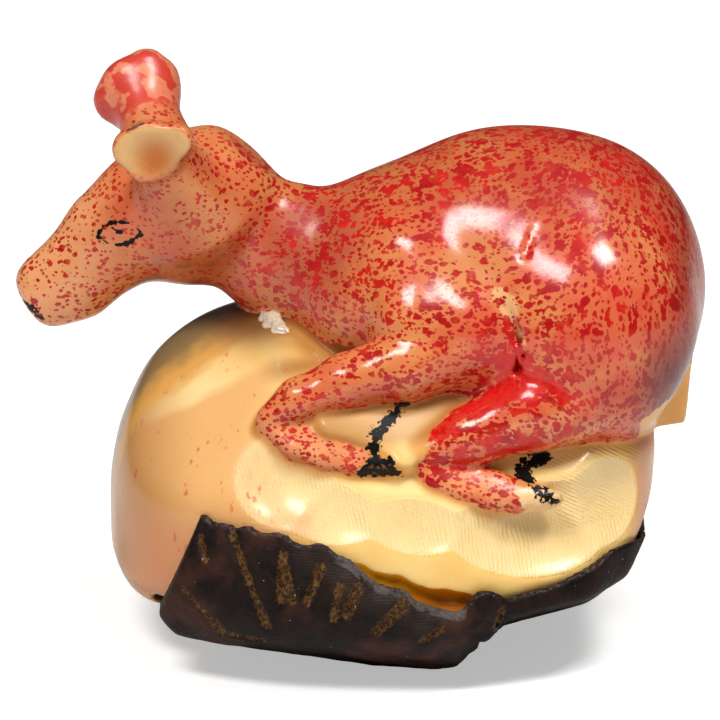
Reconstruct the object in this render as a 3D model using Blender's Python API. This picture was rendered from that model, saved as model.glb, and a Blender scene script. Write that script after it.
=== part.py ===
"""Tagua deer carving: a deer lying on the rest of the palm nut it was cut from, over a cup of dark husk.

The carver's forms are put together as clay is: rounded lumps are joined with soft fillets and tools
are pressed into them.  Each lump is a distance in millimetres, below zero inside the clay.  Blender's
own nodes work the distances out on a grid of cells and skin the zero surface.

X runs from the rump (+) to the muzzle (-), Y from the side that shows (-) to the back (+), Z is up.
"""
import math

import bpy
from mathutils import Vector

MM = 0.001

# --- driving dimensions, in millimetres -------------------------------------------------------
NUT_MIDDLE = (2.4, 0.0, 12.0)        # widest level of the nut
NUT_HALF_LENGTH = 23.4
NUT_HALF_DEPTH = 18.2
NUT_CROWN = 15.0                     # from the widest level to the top under the deer
NUT_KEEL = 11.2                      # from the widest level to the bottom of the kernel
NUT_SQUARENESS = 2.7                 # 2 is an egg, more is boxier

HUSK_GAP = 0.3                       # air left between kernel and husk
HUSK_RIM_THICKNESS = 0.8             # at its free edge; it thickens below
HUSK_THIN = 1.3                      # right plate
HUSK_THICK = 2.1                     # left plate
HUSK_FLARE = 0.25                    # how fast it thickens below the edge
HUSK_BEVEL = 1.0                     # the same along the front of the left plate
HUSK_BEVEL_START = (-3.0, -0.5)      # X where the bevel comes in, and where it goes out
HUSK_BEVEL_END = (10.0, 8.5)
HUSK_STEP_X = 8.6                    # where the left plate is broken off
HUSK_STEP_LENGTH = 1.2               # the break slopes over this length
HUSK_RIM_TOP = 20.0                  # greatest height a rim station may have
FLOOR_LEVEL = 0.0                    # the underside that it rests on
KERNEL_BOTTOM = FLOOR_LEVEL + HUSK_THIN + HUSK_GAP
CENTRING = (0.25, -0.5, 0.0)         # the carver's middle to the middle of the whole piece
PIECE_LOW = (-32.0, -24.0, -1.0)     # box that is filled with clay
PIECE_HIGH = (32.0, 24.0, 53.0)
HUSK_HIGH = (32.0, 24.0, 20.0)

KERNEL_CELL = 0.85                   # grid cell of the kernel
HUSK_CELL = 0.58
KERNEL_FACES = 6900                  # triangles kept
HUSK_FACES = 2800

# How high the husk reaches, going once round the nut: (share of a full turn from the left end, mm).
HUSK_RIM = (
    (0.000, 14.6), (0.100, 16.0), (0.126, 16.0), (0.149, 15.2), (0.174, 15.0), (0.193, 14.0),
    (0.213, 13.3), (0.230, 12.0), (0.252, 10.3), (0.270, 9.1), (0.290, 8.2), (0.301, 7.9),
    (0.316, 9.6), (0.340, 9.2), (0.356, 9.6), (0.385, 10.9), (0.415, 12.0), (0.445, 11.4),
    (0.500, 11.4), (0.570, 10.2), (0.650, 8.6), (0.740, 7.6), (0.820, 9.2), (0.880, 11.6),
    (0.930, 13.6), (1.000, 14.6),
)
HUSK_END = (-16.8, 0.0, 7.8)         # the husk is gone beyond this cut: the left end is bare
HUSK_END_FACING = (-1.0, 0.0, 0.40)
HUSK_CORNER = (-16.9, 0.0, 5.4)
HUSK_CORNER_FACING = (-0.84, 0.0, -0.54)

# An egg is (middle, radii), a cut is (a place on the plane, the way the removed side lies).
DOWN = (0.0, 0.0, -1.0)
HEEL = ((-16.6, 0.0, 8.4), (4.9, 11.5, 4.7))       # flesh that the cut left end of the husk bares
HEEL_CUT = ((-17.3, 0.0, 7.8), (1.0, 0.0, -0.40))
HEEL_CORNER = ((-17.3, 0.0, 5.1), (0.84, 0.0, 0.54))
SEAT = ((19.4, 0.0, 17.4), (6.6, 11.6, 7.0))       # block under the rump
DOME = ((-6.4, 0.0, 13.2), (15.3, 17.0, 17.1))     # rounded end of the nut in front of the deer
DOME_BROW = ((-11.2, 0.0, 19.2), (8.2, 12.0, 9.2))
DOME_FOOT = (0.0, 0.0, 8.5)
FACET_NEAR = (-13.6, -6.6, 24.6)                   # broad facets planed on the dome
FACET_FAR = (-13.6, 6.6, 26.2)
FACET_FACING = (-0.52, 0.52, 0.68)
FLANK = (-12.6, 14.9, 19.0)
FLANK_FACING = (-0.30, 0.80, 0.50)
BELLY = ((13.6, 0.0, 29.1), (16.6, 12.4, 16.8))
CHEST = ((3.6, 0.0, 31.6), (10.0, 9.8, 10.4))
RUMP = ((19.3, 0.0, 33.3), (10.0, 11.0, 11.0))
HAUNCH = ((19.0, 6.0, 29.8), (10.4, 9.2, 10.8))
HAUNCH_TURN = (0, 12, 0)
RUMP_CUT = ((29.3, 0.0, 26.0), (0.90, 0.0, -0.43))
CHEEK = ((-14.6, 0.0, 36.2), (5.0, 3.9, 4.3))
MUZZLE_CUT = ((-29.2, 0.0, 30.2), (-0.85, 0.0, -0.53))
NAPE_CUT = ((-9.4, 0.0, 43.9), (0.67, 0.0, 0.74))
TAIL = ((26.6, -0.4, 23.4), (4.4, 4.4, 6.0))
TAIL_CUTS = (((28.9, 0.0, 23.5), (1.0, 0.0, -0.08)), ((26.0, 0.0, 19.5), (0.14, 0.0, -1.0)),
             ((26.0, -2.9, 22.0), (0.0, -1.0, -0.1)))

# How softly two forms run into one another.
TORSO_FILLET = 4.0
HAUNCH_FILLET = 2.5
NECK_FILLET = 2.5
LEG_FILLET = 1.0
FOOT_FILLET = 0.6
DEER_TO_NUT = 0.7

# Rows of stations are (x, y, z, radius) with y towards the far side; the near side mirrors it.
BENCH = (0.8, 14.0, 20.4)            # the sloping bench on which the legs lie
BENCH_FACING = (0.09, 0.72, 0.69)
WEB = (                              # flesh left standing between the legs
    (3.7, 14.2, 19.9, 1.2), (5.0, 13.6, 21.9, 1.5), (2.6, 13.4, 21.6, 1.6), (-2.2, 13.3, 23.2, 1.2),
    (1.8, 12.9, 23.2, 1.8), (5.3, 12.2, 23.8, 1.8), (8.7, 11.6, 24.4, 1.4), (12.0, 10.6, 25.6, 1.0),
)
STROKES = (                          # long gouge strokes: place, length, tilt in degrees, depth, softness
    ((-5.0, -16.6, 17.6), 8.0, 42, 0.40, 0.9), ((-1.0, -17.9, 15.1), 9.0, 12, 0.55, 0.25),
    ((3.8, -18.1, 14.3), 9.0, 14, 0.62, 0.12), ((10.7, -17.6, 13.2), 16.0, 6, 0.80, 0.12),
    ((19.0, -15.0, 13.9), 13.0, 0, 0.60, 0.25),
)
STROKE_REACH = 6.0                   # radii of the gouge's own sweep, in depth and up and down
STROKE_RISE = 7.0
STROKE_TURN = -20
NUT_HEART = (2.1, 0.0, 1.0)          # the gouge is always pushed towards this point
SLIT = (                             # gap under the lip of the flesh, above the husk
    (-1.2, -18.5, 12.5, 0.2), (0.1, -18.5, 11.5, 0.5), (1.7, -18.5, 10.4, 0.75), (3.2, -18.5, 10.0, 0.95),
    (4.9, -18.4, 9.0, 1.0), (7.1, -18.2, 8.4, 1.2), (9.0, -17.9, 8.2, 1.1),
)

UPPER_ARM = ((5.2, 6.0, 35.4, 4.4), (9.3, 9.0, 30.9, 4.7), (4.8, 9.3, 31.4, 3.6), (4.2, 6.0, 36.2, 3.9))
CREASE = (                           # between upper arm and haunch
    (11.2, 12.3, 35.4, 0.15), (12.7, 12.9, 33.2, 0.28), (13.9, 13.2, 31.2, 0.38), (14.3, 13.2, 29.6, 0.5),
    (13.6, 12.9, 27.8, 0.8),
)
NECK = ((0.6, 0.0, 32.8, 7.6), (-4.9, 0.0, 34.0, 6.2), (-10.2, 0.0, 36.7, 5.4))
HEAD = (
    (-12.9, 0.0, 39.9, 6.2), (-18.1, 0.0, 38.2, 5.3), (-21.4, 0.0, 36.0, 4.3), (-24.8, 0.0, 32.6, 3.6),
    (-26.9, 0.0, 31.4, 3.3),
)
FOREARM = (
    (9.4, 10.0, 30.0, 3.8), (4.0, 11.2, 27.9, 3.1), (-1.2, 12.2, 26.7, 2.25), (-5.2, 12.9, 25.3, 1.75),
    (-7.6, 13.4, 23.9, 1.15),
)
FRONT_FOOT = (
    (-7.9, 13.6, 23.2, 0.9), (-5.1, 14.3, 22.3, 1.75), (-2.5, 14.4, 21.5, 2.1), (-0.3, 14.4, 20.7, 1.8),
    (1.8, 14.4, 20.0, 1.2), (3.3, 14.6, 19.4, 0.6),
)
SHANK = ((17.6, 11.0, 24.9, 4.2), (15.2, 12.2, 24.2, 3.5), (9.6, 13.2, 22.1, 2.5), (5.2, 14.2, 20.7, 1.3))
HIND_FOOT = (
    (4.9, 14.0, 20.0, 1.0), (7.0, 14.4, 19.2, 1.75), (9.1, 14.9, 18.4, 1.65), (11.3, 15.1, 17.8, 1.7),
    (13.5, 15.3, 17.3, 1.4), (15.6, 15.2, 17.1, 1.0), (17.1, 15.1, 16.9, 0.5),
)
FOOT_THICKNESS = 1.1

NEAR_EAR = (-17.9, 8.6, 46.4)        # the two ears are carved a little differently
FAR_EAR = (-19.5, 8.6, 47.2)
NEAR_LEAF = ((-1.8, 0.3, -0.1), (2.5, -0.5, 0.8), (-0.4, 0.0, -1.5))
FAR_LEAF = ((-2.2, 0.2, -0.9), (0.9, 0.0, 1.9), (2.0, -0.4, 1.0), (-0.6, 0.0, -1.8))
NEAR_LEAF_RADII = (2.2, 1.4)         # of the leaf's middle and of its corners
FAR_LEAF_RADII = (2.6, 1.6)
NEAR_EAR_BACK = (3.3, 2.2, 2.3)
FAR_EAR_BACK = (3.6, 1.9, 3.3)
NEAR_STEM = ((-14.5, 2.3, 39.6), (1.1, -1.6, -1.2), 5.2, 2.3)     # root, end from the middle, radii
FAR_STEM = ((-17.2, 3.6, 42.6), (0.6, -1.4, -0.9), 3.1, 2.6)
EAR_FACING = (-0.22, 1.0, 0.10)
EAR_BACK_AT = (0.2, -0.9, -0.1)
EAR_HOLLOW_AT = (0.3, 2.5, -0.4)
EAR_HOLLOW = (5.1, 2.2, 4.1)
EAR_HOLLOW_TURN = 12
EAR_FILLET = 2.6


class Clay:
    """A geometry node tree that works out distances; every method adds nodes and returns a socket."""

    def __init__(self, name):
        self.tree = bpy.data.node_groups.new(name, "GeometryNodeTree")
        self.tree.interface.new_socket("Geometry", in_out="OUTPUT", socket_type="NodeSocketGeometry")
        point = self.vector("SCALE", self.add("GeometryNodeInputPosition").outputs[0], scale=1 / MM)
        self.point = self.vector("ADD", point, CENTRING)

    def add(self, kind):
        return self.tree.nodes.new(kind)

    def feed(self, socket, value):
        if isinstance(value, bpy.types.NodeSocket):
            self.tree.links.new(value, socket)
        else:
            socket.default_value = value

    def math(self, operation, *values):
        node = self.add("ShaderNodeMath")
        node.operation = operation
        for socket, value in zip(node.inputs, values):
            self.feed(socket, value)
        return node.outputs[0]

    def vector(self, operation, *values, scale=None):
        node = self.add("ShaderNodeVectorMath")
        node.operation = operation
        for socket, value in zip(node.inputs, values):
            self.feed(socket, value)
        if scale is not None:
            self.feed(node.inputs["Scale"], scale)
        return node.outputs["Value" if operation in {"LENGTH", "DOT_PRODUCT", "DISTANCE"} else "Vector"]

    def parts(self, vector):
        node = self.add("ShaderNodeSeparateXYZ")
        self.feed(node.inputs[0], vector)
        return node.outputs

    def ease(self, value, start, end):
        """0 up to start, 1 from end on, a soft S between; start may be the larger one."""
        node = self.add("ShaderNodeMapRange")
        node.interpolation_type = "SMOOTHSTEP"
        for socket, number in zip(node.inputs, (value, start, end, 0.0, 1.0)):
            self.feed(socket, number)
        return node.outputs[0]

    # -- lumps ---------------------------------------------------------------------------------
    def egg(self, centre, radii, turn=(0, 0, 0)):
        """Ellipsoid: centre, three radii, and how its axes are turned in degrees."""
        local = self.vector("SUBTRACT", self.point, centre)
        if any(turn):
            node = self.add("ShaderNodeVectorRotate")
            node.rotation_type = "EULER_XYZ"
            node.invert = True
            self.feed(node.inputs["Vector"], local)
            self.feed(node.inputs["Rotation"], [math.radians(angle) for angle in turn])
            local = node.outputs[0]
        near = self.vector("DIVIDE", local, radii)
        reach = self.math("MAXIMUM", self.vector("LENGTH", near), 0.001)
        slope = self.math("MAXIMUM", self.vector("LENGTH", self.vector("DIVIDE", near, radii)), 0.00001)
        excess = self.math("MULTIPLY", reach, self.math("SUBTRACT", reach, 1.0))
        return self.math("DIVIDE", excess, slope)

    def limb(self, start, end, start_radius, end_radius, squeeze=1.0):
        """Tapered rod with round ends; squeeze above 1 makes it narrower across (Y)."""
        scaled = (1.0, squeeze, 1.0)
        foot = [a * b for a, b in zip(start, scaled)]
        along = [a * b - c for a, b, c in zip(end, scaled, foot)]
        length2 = sum(a * a for a in along)
        local = self.vector("SUBTRACT", self.vector("MULTIPLY", self.point, scaled), foot)
        share = self.math("DIVIDE", self.vector("DOT_PRODUCT", local, along), length2)
        share = self.math("MINIMUM", self.math("MAXIMUM", share, 0.0), 1.0)
        axis = self.vector("SCALE", along, scale=share)
        away = self.vector("LENGTH", self.vector("SUBTRACT", local, axis))
        radius = self.math("MULTIPLY_ADD", share, end_radius - start_radius, start_radius)
        return self.math("DIVIDE", self.math("SUBTRACT", away, radius), squeeze ** 0.5)

    def chain(self, stations, blend, squeeze=1.0):
        """Limbs through a row of (x, y, z, radius) stations."""
        limbs = [self.limb(a[:3], b[:3], a[3], b[3], squeeze) for a, b in zip(stations, stations[1:])]
        return self.join(limbs, blend)

    def plank(self, stations, facing, thickness, blend, edge):
        """A chain flattened against the plane that faces `facing`, its edges rounded by `edge`."""
        normal = Vector(facing).normalized()
        places = [Vector(station[:3]) for station in stations]
        middle = sum(places, Vector()) / len(places)
        out = self.side_of(middle, normal)
        kept = self.point
        self.point = self.vector("SUBTRACT", kept, self.vector("SCALE", normal, scale=out))
        level = [
            (*(place - normal * (place - middle).dot(normal)), station[3])
            for place, station in zip(places, stations)
        ]
        outline = self.chain(level, blend)
        self.point = kept
        return self.keep(outline, self.math("SUBTRACT", self.math("ABSOLUTE", out), thickness), edge)

    def side_of(self, through, facing):
        """Flat side: the clay is behind it, the normal points out of it."""
        normal = Vector(facing).normalized()
        level = Vector(through).dot(normal)
        return self.math("SUBTRACT", self.vector("DOT_PRODUCT", self.point, normal), level)

    def nut(self):
        """Boxy egg with its own radius above and below the widest level."""
        x, y, z = self.parts(self.vector("SUBTRACT", self.point, NUT_MIDDLE))
        shares, slopes = [], []
        for value, radius in (
            (self.math("ABSOLUTE", x), NUT_HALF_LENGTH),
            (self.math("ABSOLUTE", y), NUT_HALF_DEPTH),
            (self.math("MAXIMUM", z, 0.0), NUT_CROWN),
            (self.math("MAXIMUM", self.math("MULTIPLY", z, -1.0), 0.0), NUT_KEEL),
        ):
            part = self.math("DIVIDE", value, radius)
            power = self.math("POWER", part, NUT_SQUARENESS - 1.0)
            shares.append(self.math("MULTIPLY", power, part))
            slope = self.math("DIVIDE", power, radius)
            slopes.append(self.math("MULTIPLY", slope, slope))
        total = self.math("MAXIMUM", self.total(shares), 0.0001)
        reach = self.math("POWER", total, 1.0 / NUT_SQUARENESS)
        steep = self.math("SQRT", self.total(slopes))
        steep = self.math("MULTIPLY", steep, self.math("POWER", reach, 1.0 - NUT_SQUARENESS))
        return self.math("DIVIDE", self.math("SUBTRACT", reach, 1.0), self.math("MAXIMUM", steep, 0.001))

    def total(self, values):
        result = values[0]
        for value in values[1:]:
            result = self.math("ADD", result, value)
        return result

    # -- putting lumps together ------------------------------------------------------------------
    def join(self, lumps, blend):
        result = lumps[0]
        for lump in lumps[1:]:
            result = self.math("SMOOTH_MIN", result, lump, blend)
        return result

    def cut(self, body, tool, blend):
        return self.math("SMOOTH_MAX", body, self.math("MULTIPLY", tool, -1.0), blend)

    def keep(self, body, zone, blend):
        return self.math("SMOOTH_MAX", body, zone, blend)

    def skin(self, distance, low, high, cell, material):
        """Works the distance out on a grid and skins the zero surface."""
        cube = self.add("GeometryNodeVolumeCube")
        self.feed(cube.inputs["Density"], self.math("SUBTRACT", 1.0, distance))
        for name, corner in (("Min", low), ("Max", high)):
            self.feed(cube.inputs[name], [value * MM for value in corner])
        for axis, a, b in zip("XYZ", low, high):
            self.feed(cube.inputs["Resolution " + axis], round((b - a) / cell) + 1)
        mesh = self.add("GeometryNodeVolumeToMesh")
        self.feed(mesh.inputs["Volume"], cube.outputs[0])
        self.feed(mesh.inputs["Threshold"], 1.0)
        smooth = self.add("GeometryNodeSetShadeSmooth")
        self.feed(smooth.inputs["Geometry"], mesh.outputs[0])
        paint = self.add("GeometryNodeSetMaterial")
        self.feed(paint.inputs["Geometry"], smooth.outputs[0])
        paint.inputs["Material"].default_value = material
        output = self.add("NodeGroupOutput")
        self.feed(output.inputs[0], paint.outputs[0])


def mirrored(rows, side):
    """The same stations on either side."""
    return [(x, y * side, z, radius) for x, y, z, radius in rows]


def on_side(place, side):
    """A place or a direction, given for the far side, on either side."""
    return (place[0], place[1] * side, place[2])


def nut_body(clay):
    """The nut as it grew: boxy egg with facets low on the right and a full corner low on the left."""
    corner = clay.egg((-13.4, 0.0, 8.4), (7.9, 12.0, 7.4))
    body = clay.join([clay.nut(), corner], 3.0)
    body = clay.keep(body, clay.side_of((0.0, 0.0, KERNEL_BOTTOM), (0.0, 0.0, -1.0)), 0.6)
    body = clay.keep(body, clay.side_of((2.0, 0.0, KERNEL_BOTTOM), (-0.235, 0.0, -0.97)), 0.8)
    body = clay.keep(body, clay.side_of((-3.5, 0.0, 3.0), (-0.27, 0.0, -0.963)), 0.8)
    body = clay.keep(body, clay.side_of((23.8, 0.0, 10.6), (0.85, 0.0, -0.53)), 1.6)
    step = clay.side_of((7.0, 0.0, 2.85), (0.755, 0.0, -0.656))
    for side in (-1, 1):
        right_facet = clay.side_of((17.5, 7.5 * side, 6.1), (0.26, 0.34 * side, -0.91))
        left_facet = clay.side_of((-2.0, 8.4 * side, 2.2), (-0.10, 0.42 * side, -0.90))
        body = clay.keep(body, clay.math("MINIMUM", right_facet, step), 1.0)
        body = clay.keep(body, left_facet, 2.0)
    return body


def bare_nut(clay):
    """The flesh under the deer: bench, dome, gouge strokes and the gap above the husk."""
    kept = clay.math("MINIMUM", clay.side_of(*HEEL_CUT), clay.side_of(*HEEL_CORNER))
    heel = clay.keep(clay.egg(*HEEL), kept, 0.2)
    base = clay.join([clay.join([nut_body(clay), heel], 0.5), clay.egg(*SEAT)], 1.5)
    for side in (-1, 1):
        facing = on_side(BENCH_FACING, side)
        base = clay.keep(base, clay.side_of(on_side(BENCH, side), facing), 1.0)
        base = clay.join([base, clay.plank(mirrored(WEB, side), facing, 1.0, 1.0, 0.8)], 1.2)
    dome = clay.join([clay.egg(*DOME), clay.egg(*DOME_BROW)], 3.0)
    dome = clay.keep(dome, clay.side_of(DOME_FOOT, DOWN), 1.0)
    base = clay.join([base, dome], 2.5)
    for side in (-1, 1):
        facet = clay.side_of(FACET_NEAR if side < 0 else FACET_FAR, on_side(FACET_FACING, side))
        base = clay.keep(base, facet, 1.8)
        base = clay.keep(base, clay.side_of(on_side(FLANK, side), on_side(FLANK_FACING, side)), 1.2)
    base = clay.keep(base, clay.side_of((0.0, 0.0, KERNEL_BOTTOM), DOWN), 0.5)
    for place, length, tilt, depth, soft in STROKES:
        facing = (Vector(place) - Vector(NUT_HEART)).normalized()
        centre = Vector(place) + facing * (STROKE_REACH - depth)
        lean = math.degrees(math.atan2(facing.x, -facing.y))
        tool = clay.egg(centre, (length, STROKE_REACH, STROKE_RISE), (STROKE_TURN, tilt, lean))
        base = clay.cut(base, tool, soft)
    return clay.cut(base, clay.chain(SLIT, 0.8), 0.12)


def deer_torso(clay):
    torso = clay.join([clay.egg(*BELLY), clay.egg(*CHEST), clay.egg(*RUMP)], TORSO_FILLET)
    for side in (-1, 1):
        haunch = clay.egg(on_side(HAUNCH[0], side), HAUNCH[1], HAUNCH_TURN)
        torso = clay.join([torso, haunch], HAUNCH_FILLET)
    torso = clay.keep(torso, clay.side_of(*RUMP_CUT), 3.0)
    for side in (-1, 1):
        torso = clay.join([torso, clay.chain(mirrored(UPPER_ARM, side), 1.5)], 2.0)
        torso = clay.cut(torso, clay.chain(mirrored(CREASE, side), 0.6), 0.8)
    return torso


def deer_neck_and_head(clay):
    head = clay.join([clay.chain(HEAD, 2.0, 1.15), clay.egg(*CHEEK)], 2.0)
    head = clay.keep(head, clay.side_of(*MUZZLE_CUT), 1.2)
    head = clay.keep(head, clay.side_of(*NAPE_CUT), 1.5)
    return clay.join([clay.chain(NECK, 2.4, 1.3), head], 1.5)


def deer_ear(clay, side):
    """A leaf with rounded corners on a short stem, hollowed on its outer side."""
    near = side < 0
    middle = Vector(on_side(NEAR_EAR if near else FAR_EAR, side))
    radius, corner_radius = NEAR_LEAF_RADII if near else FAR_LEAF_RADII
    rows = [(*middle, radius)]
    for dx, dy, dz in NEAR_LEAF if near else FAR_LEAF:
        rows.append((*(middle + Vector((dx, dy * side, dz))), corner_radius))
        rows.append((*middle, radius))
    leaf = clay.plank(rows, on_side(EAR_FACING, side), 1.0, 0.6, 1.0)
    back = clay.egg(middle + Vector(on_side(EAR_BACK_AT, side)), NEAR_EAR_BACK if near else FAR_EAR_BACK)
    root, reach, thick, thin = NEAR_STEM if near else FAR_STEM
    stem = clay.limb(on_side(root, side), middle + Vector(on_side(reach, side)), thick, thin)
    ear = clay.join([stem, back, leaf], 1.0 if near else 1.5)
    tool_at = middle + Vector(on_side(EAR_HOLLOW_AT, side))
    hollow = clay.egg(tool_at, EAR_HOLLOW, (0, 0, EAR_HOLLOW_TURN * side))
    return clay.cut(ear, hollow, 0.7)


def deer_legs(clay, side):
    """Rods for the upper parts, thin planks laid on the bench for the lower ones."""
    bench = on_side(BENCH_FACING, side)
    front_foot = clay.plank(mirrored(FRONT_FOOT, side), bench, FOOT_THICKNESS, 0.8, 1.5)
    hind_foot = clay.plank(mirrored(HIND_FOOT, side), bench, FOOT_THICKNESS, 0.8, 1.5)
    front = clay.join([clay.chain(mirrored(FOREARM, side), 1.5), front_foot], FOOT_FILLET)
    hind = clay.join([clay.chain(mirrored(SHANK, side), 1.5), hind_foot], FOOT_FILLET)
    return clay.join([front, hind], 0.4)


def deer_tail(clay):
    """A stubby square-cut block."""
    tail = clay.egg(*TAIL)
    for cut in TAIL_CUTS:
        tail = clay.keep(tail, clay.side_of(*cut), 0.5)
    return tail


def build_kernel(material):
    clay = Clay("deer_and_nut_clay")
    deer = clay.join([deer_torso(clay), deer_neck_and_head(clay)], NECK_FILLET)
    deer = clay.join([deer, deer_tail(clay)], 0.6)
    for side in (-1, 1):
        deer = clay.join([deer, deer_legs(clay, side)], LEG_FILLET)
        deer = clay.join([deer, deer_ear(clay, side)], EAR_FILLET)
    body = clay.join([bare_nut(clay), deer], DEER_TO_NUT)
    clay.skin(body, PIECE_LOW, PIECE_HIGH, KERNEL_CELL, material)
    return clay.tree


def build_husk(material):
    clay = Clay("nut_husk_clay")
    nut = nut_body(clay)
    across = clay.parts(clay.vector("SUBTRACT", clay.point, NUT_MIDDLE))
    turn = clay.math("ARCTAN2", across[1], across[0])
    share = clay.math("FRACT", clay.math("ADD", clay.math("DIVIDE", turn, 2 * math.pi), 0.5))
    rim = clay.add("ShaderNodeFloatCurve")
    curve = rim.mapping.curves[0]
    for _ in range(len(HUSK_RIM) - 2):
        curve.points.new(0.5, 0.5)
    for point, (share_at, height) in zip(curve.points, HUSK_RIM):
        point.location = (share_at, height / HUSK_RIM_TOP)
    rim.mapping.update()
    clay.feed(rim.inputs["Value"], share)
    height = clay.math("MULTIPLY", rim.outputs[0], HUSK_RIM_TOP)
    place = clay.parts(clay.point)
    above = clay.math("SUBTRACT", place[2], height)
    step = clay.math("SUBTRACT", place[0], HUSK_STEP_X)
    step = clay.math("DIVIDE", step, HUSK_STEP_LENGTH)
    step = clay.math("MINIMUM", clay.math("MAXIMUM", step, 0.0), 1.0)
    full = clay.math("MULTIPLY_ADD", step, HUSK_THIN - HUSK_THICK, HUSK_THICK)
    bevel_in = clay.ease(place[0], *HUSK_BEVEL_START)
    bevel = clay.math("MULTIPLY", bevel_in, clay.ease(place[0], *HUSK_BEVEL_END))
    flare = clay.math("MULTIPLY_ADD", bevel, HUSK_FLARE - HUSK_BEVEL, -HUSK_FLARE)
    flared = clay.math("MULTIPLY_ADD", above, flare, HUSK_RIM_THICKNESS)
    thickness = clay.math("ADD", clay.math("SMOOTH_MIN", full, flared, 0.6), HUSK_GAP)
    shell = clay.cut(clay.math("SUBTRACT", nut, thickness), clay.math("SUBTRACT", nut, HUSK_GAP), 0.1)
    shell = clay.keep(shell, above, 0.2)
    shell = clay.keep(shell, clay.side_of(HUSK_END, HUSK_END_FACING), 0.3)
    shell = clay.keep(shell, clay.side_of(HUSK_CORNER, HUSK_CORNER_FACING), 0.8)
    shell = clay.keep(shell, clay.side_of((0.0, 0.0, FLOOR_LEVEL), DOWN), 0.1)
    clay.skin(shell, PIECE_LOW, HUSK_HIGH, HUSK_CELL, material)
    return clay.tree


def new_material(name, colour, roughness):
    material = bpy.data.materials.new(name)
    material.use_nodes = True
    shader = material.node_tree.nodes["Principled BSDF"]
    shader.inputs["Base Color"].default_value = (*colour, 1.0)
    shader.inputs["Roughness"].default_value = roughness
    shader.inputs["Metallic"].default_value = 0.0
    return material


def new_piece(name, tree, material, faces):
    mesh = bpy.data.meshes.new(name)
    mesh.materials.append(material)
    piece = bpy.data.objects.new(name, mesh)
    bpy.context.scene.collection.objects.link(piece)
    nodes = piece.modifiers.new("Clay", "NODES")
    nodes.node_group = tree
    count = len(piece.evaluated_get(bpy.context.evaluated_depsgraph_get()).to_mesh().polygons)
    fewer = piece.modifiers.new("Fewer faces", "DECIMATE")
    fewer.ratio = min(1.0, faces / (2 * count))
    fewer.use_collapse_triangulate = True
    return piece


for old in list(bpy.data.objects):
    bpy.data.objects.remove(old, do_unlink=True)

ivory = new_material("ivory_nut", (0.80, 0.53, 0.23), 0.3)
husk = new_material("dark_husk", (0.045, 0.025, 0.016), 0.5)
new_piece("deer_and_nut", build_kernel(ivory), ivory, KERNEL_FACES)
new_piece("nut_husk", build_husk(husk), husk, HUSK_FACES)
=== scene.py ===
# %% [markdown]
# # Tagua deer carving
# A deer lies with folded legs on the rest of the palm nut that it was cut from.  The nut's flesh is
# as hard and as fine as ivory, its skin is a dark woody husk, and the deer is dabbed with red.
# The real one is made by taking away: saw, gouge, file, then paint and lacquer.  Here the forms are
# built the same way, from rounded lumps that are joined with soft fillets and cut with tools.

# %% Load the packed frame
import math
import bpy
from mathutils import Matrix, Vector


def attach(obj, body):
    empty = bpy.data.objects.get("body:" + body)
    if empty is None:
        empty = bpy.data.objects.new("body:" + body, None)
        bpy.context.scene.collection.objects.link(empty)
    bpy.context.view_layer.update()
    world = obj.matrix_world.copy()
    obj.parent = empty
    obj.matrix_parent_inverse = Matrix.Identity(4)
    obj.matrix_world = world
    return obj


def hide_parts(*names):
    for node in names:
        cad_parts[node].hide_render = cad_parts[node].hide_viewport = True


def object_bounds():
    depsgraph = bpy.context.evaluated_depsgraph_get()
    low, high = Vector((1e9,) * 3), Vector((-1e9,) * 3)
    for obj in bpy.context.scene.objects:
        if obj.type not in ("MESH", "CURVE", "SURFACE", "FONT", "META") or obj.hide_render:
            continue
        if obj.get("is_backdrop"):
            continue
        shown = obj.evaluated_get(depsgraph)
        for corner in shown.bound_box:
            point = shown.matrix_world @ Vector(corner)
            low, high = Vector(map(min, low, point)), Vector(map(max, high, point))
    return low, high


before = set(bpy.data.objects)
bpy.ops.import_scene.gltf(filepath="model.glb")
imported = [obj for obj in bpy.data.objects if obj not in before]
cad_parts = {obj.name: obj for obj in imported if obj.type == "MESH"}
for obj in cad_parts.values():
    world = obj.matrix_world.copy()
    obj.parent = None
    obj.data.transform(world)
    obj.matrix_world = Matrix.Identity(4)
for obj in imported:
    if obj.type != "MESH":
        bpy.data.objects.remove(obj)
cad_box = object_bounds()
MM = 0.001
print("nodes in the frame:", sorted(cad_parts))

# %% [markdown]
# ## A bench for node trees
# Both the forms and the finishes are node trees, so one small class lays nodes down for both.
# Every method adds a node and returns the socket that carries its result, so that a formula can be
# written as nested calls and read from the inside out.

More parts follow.
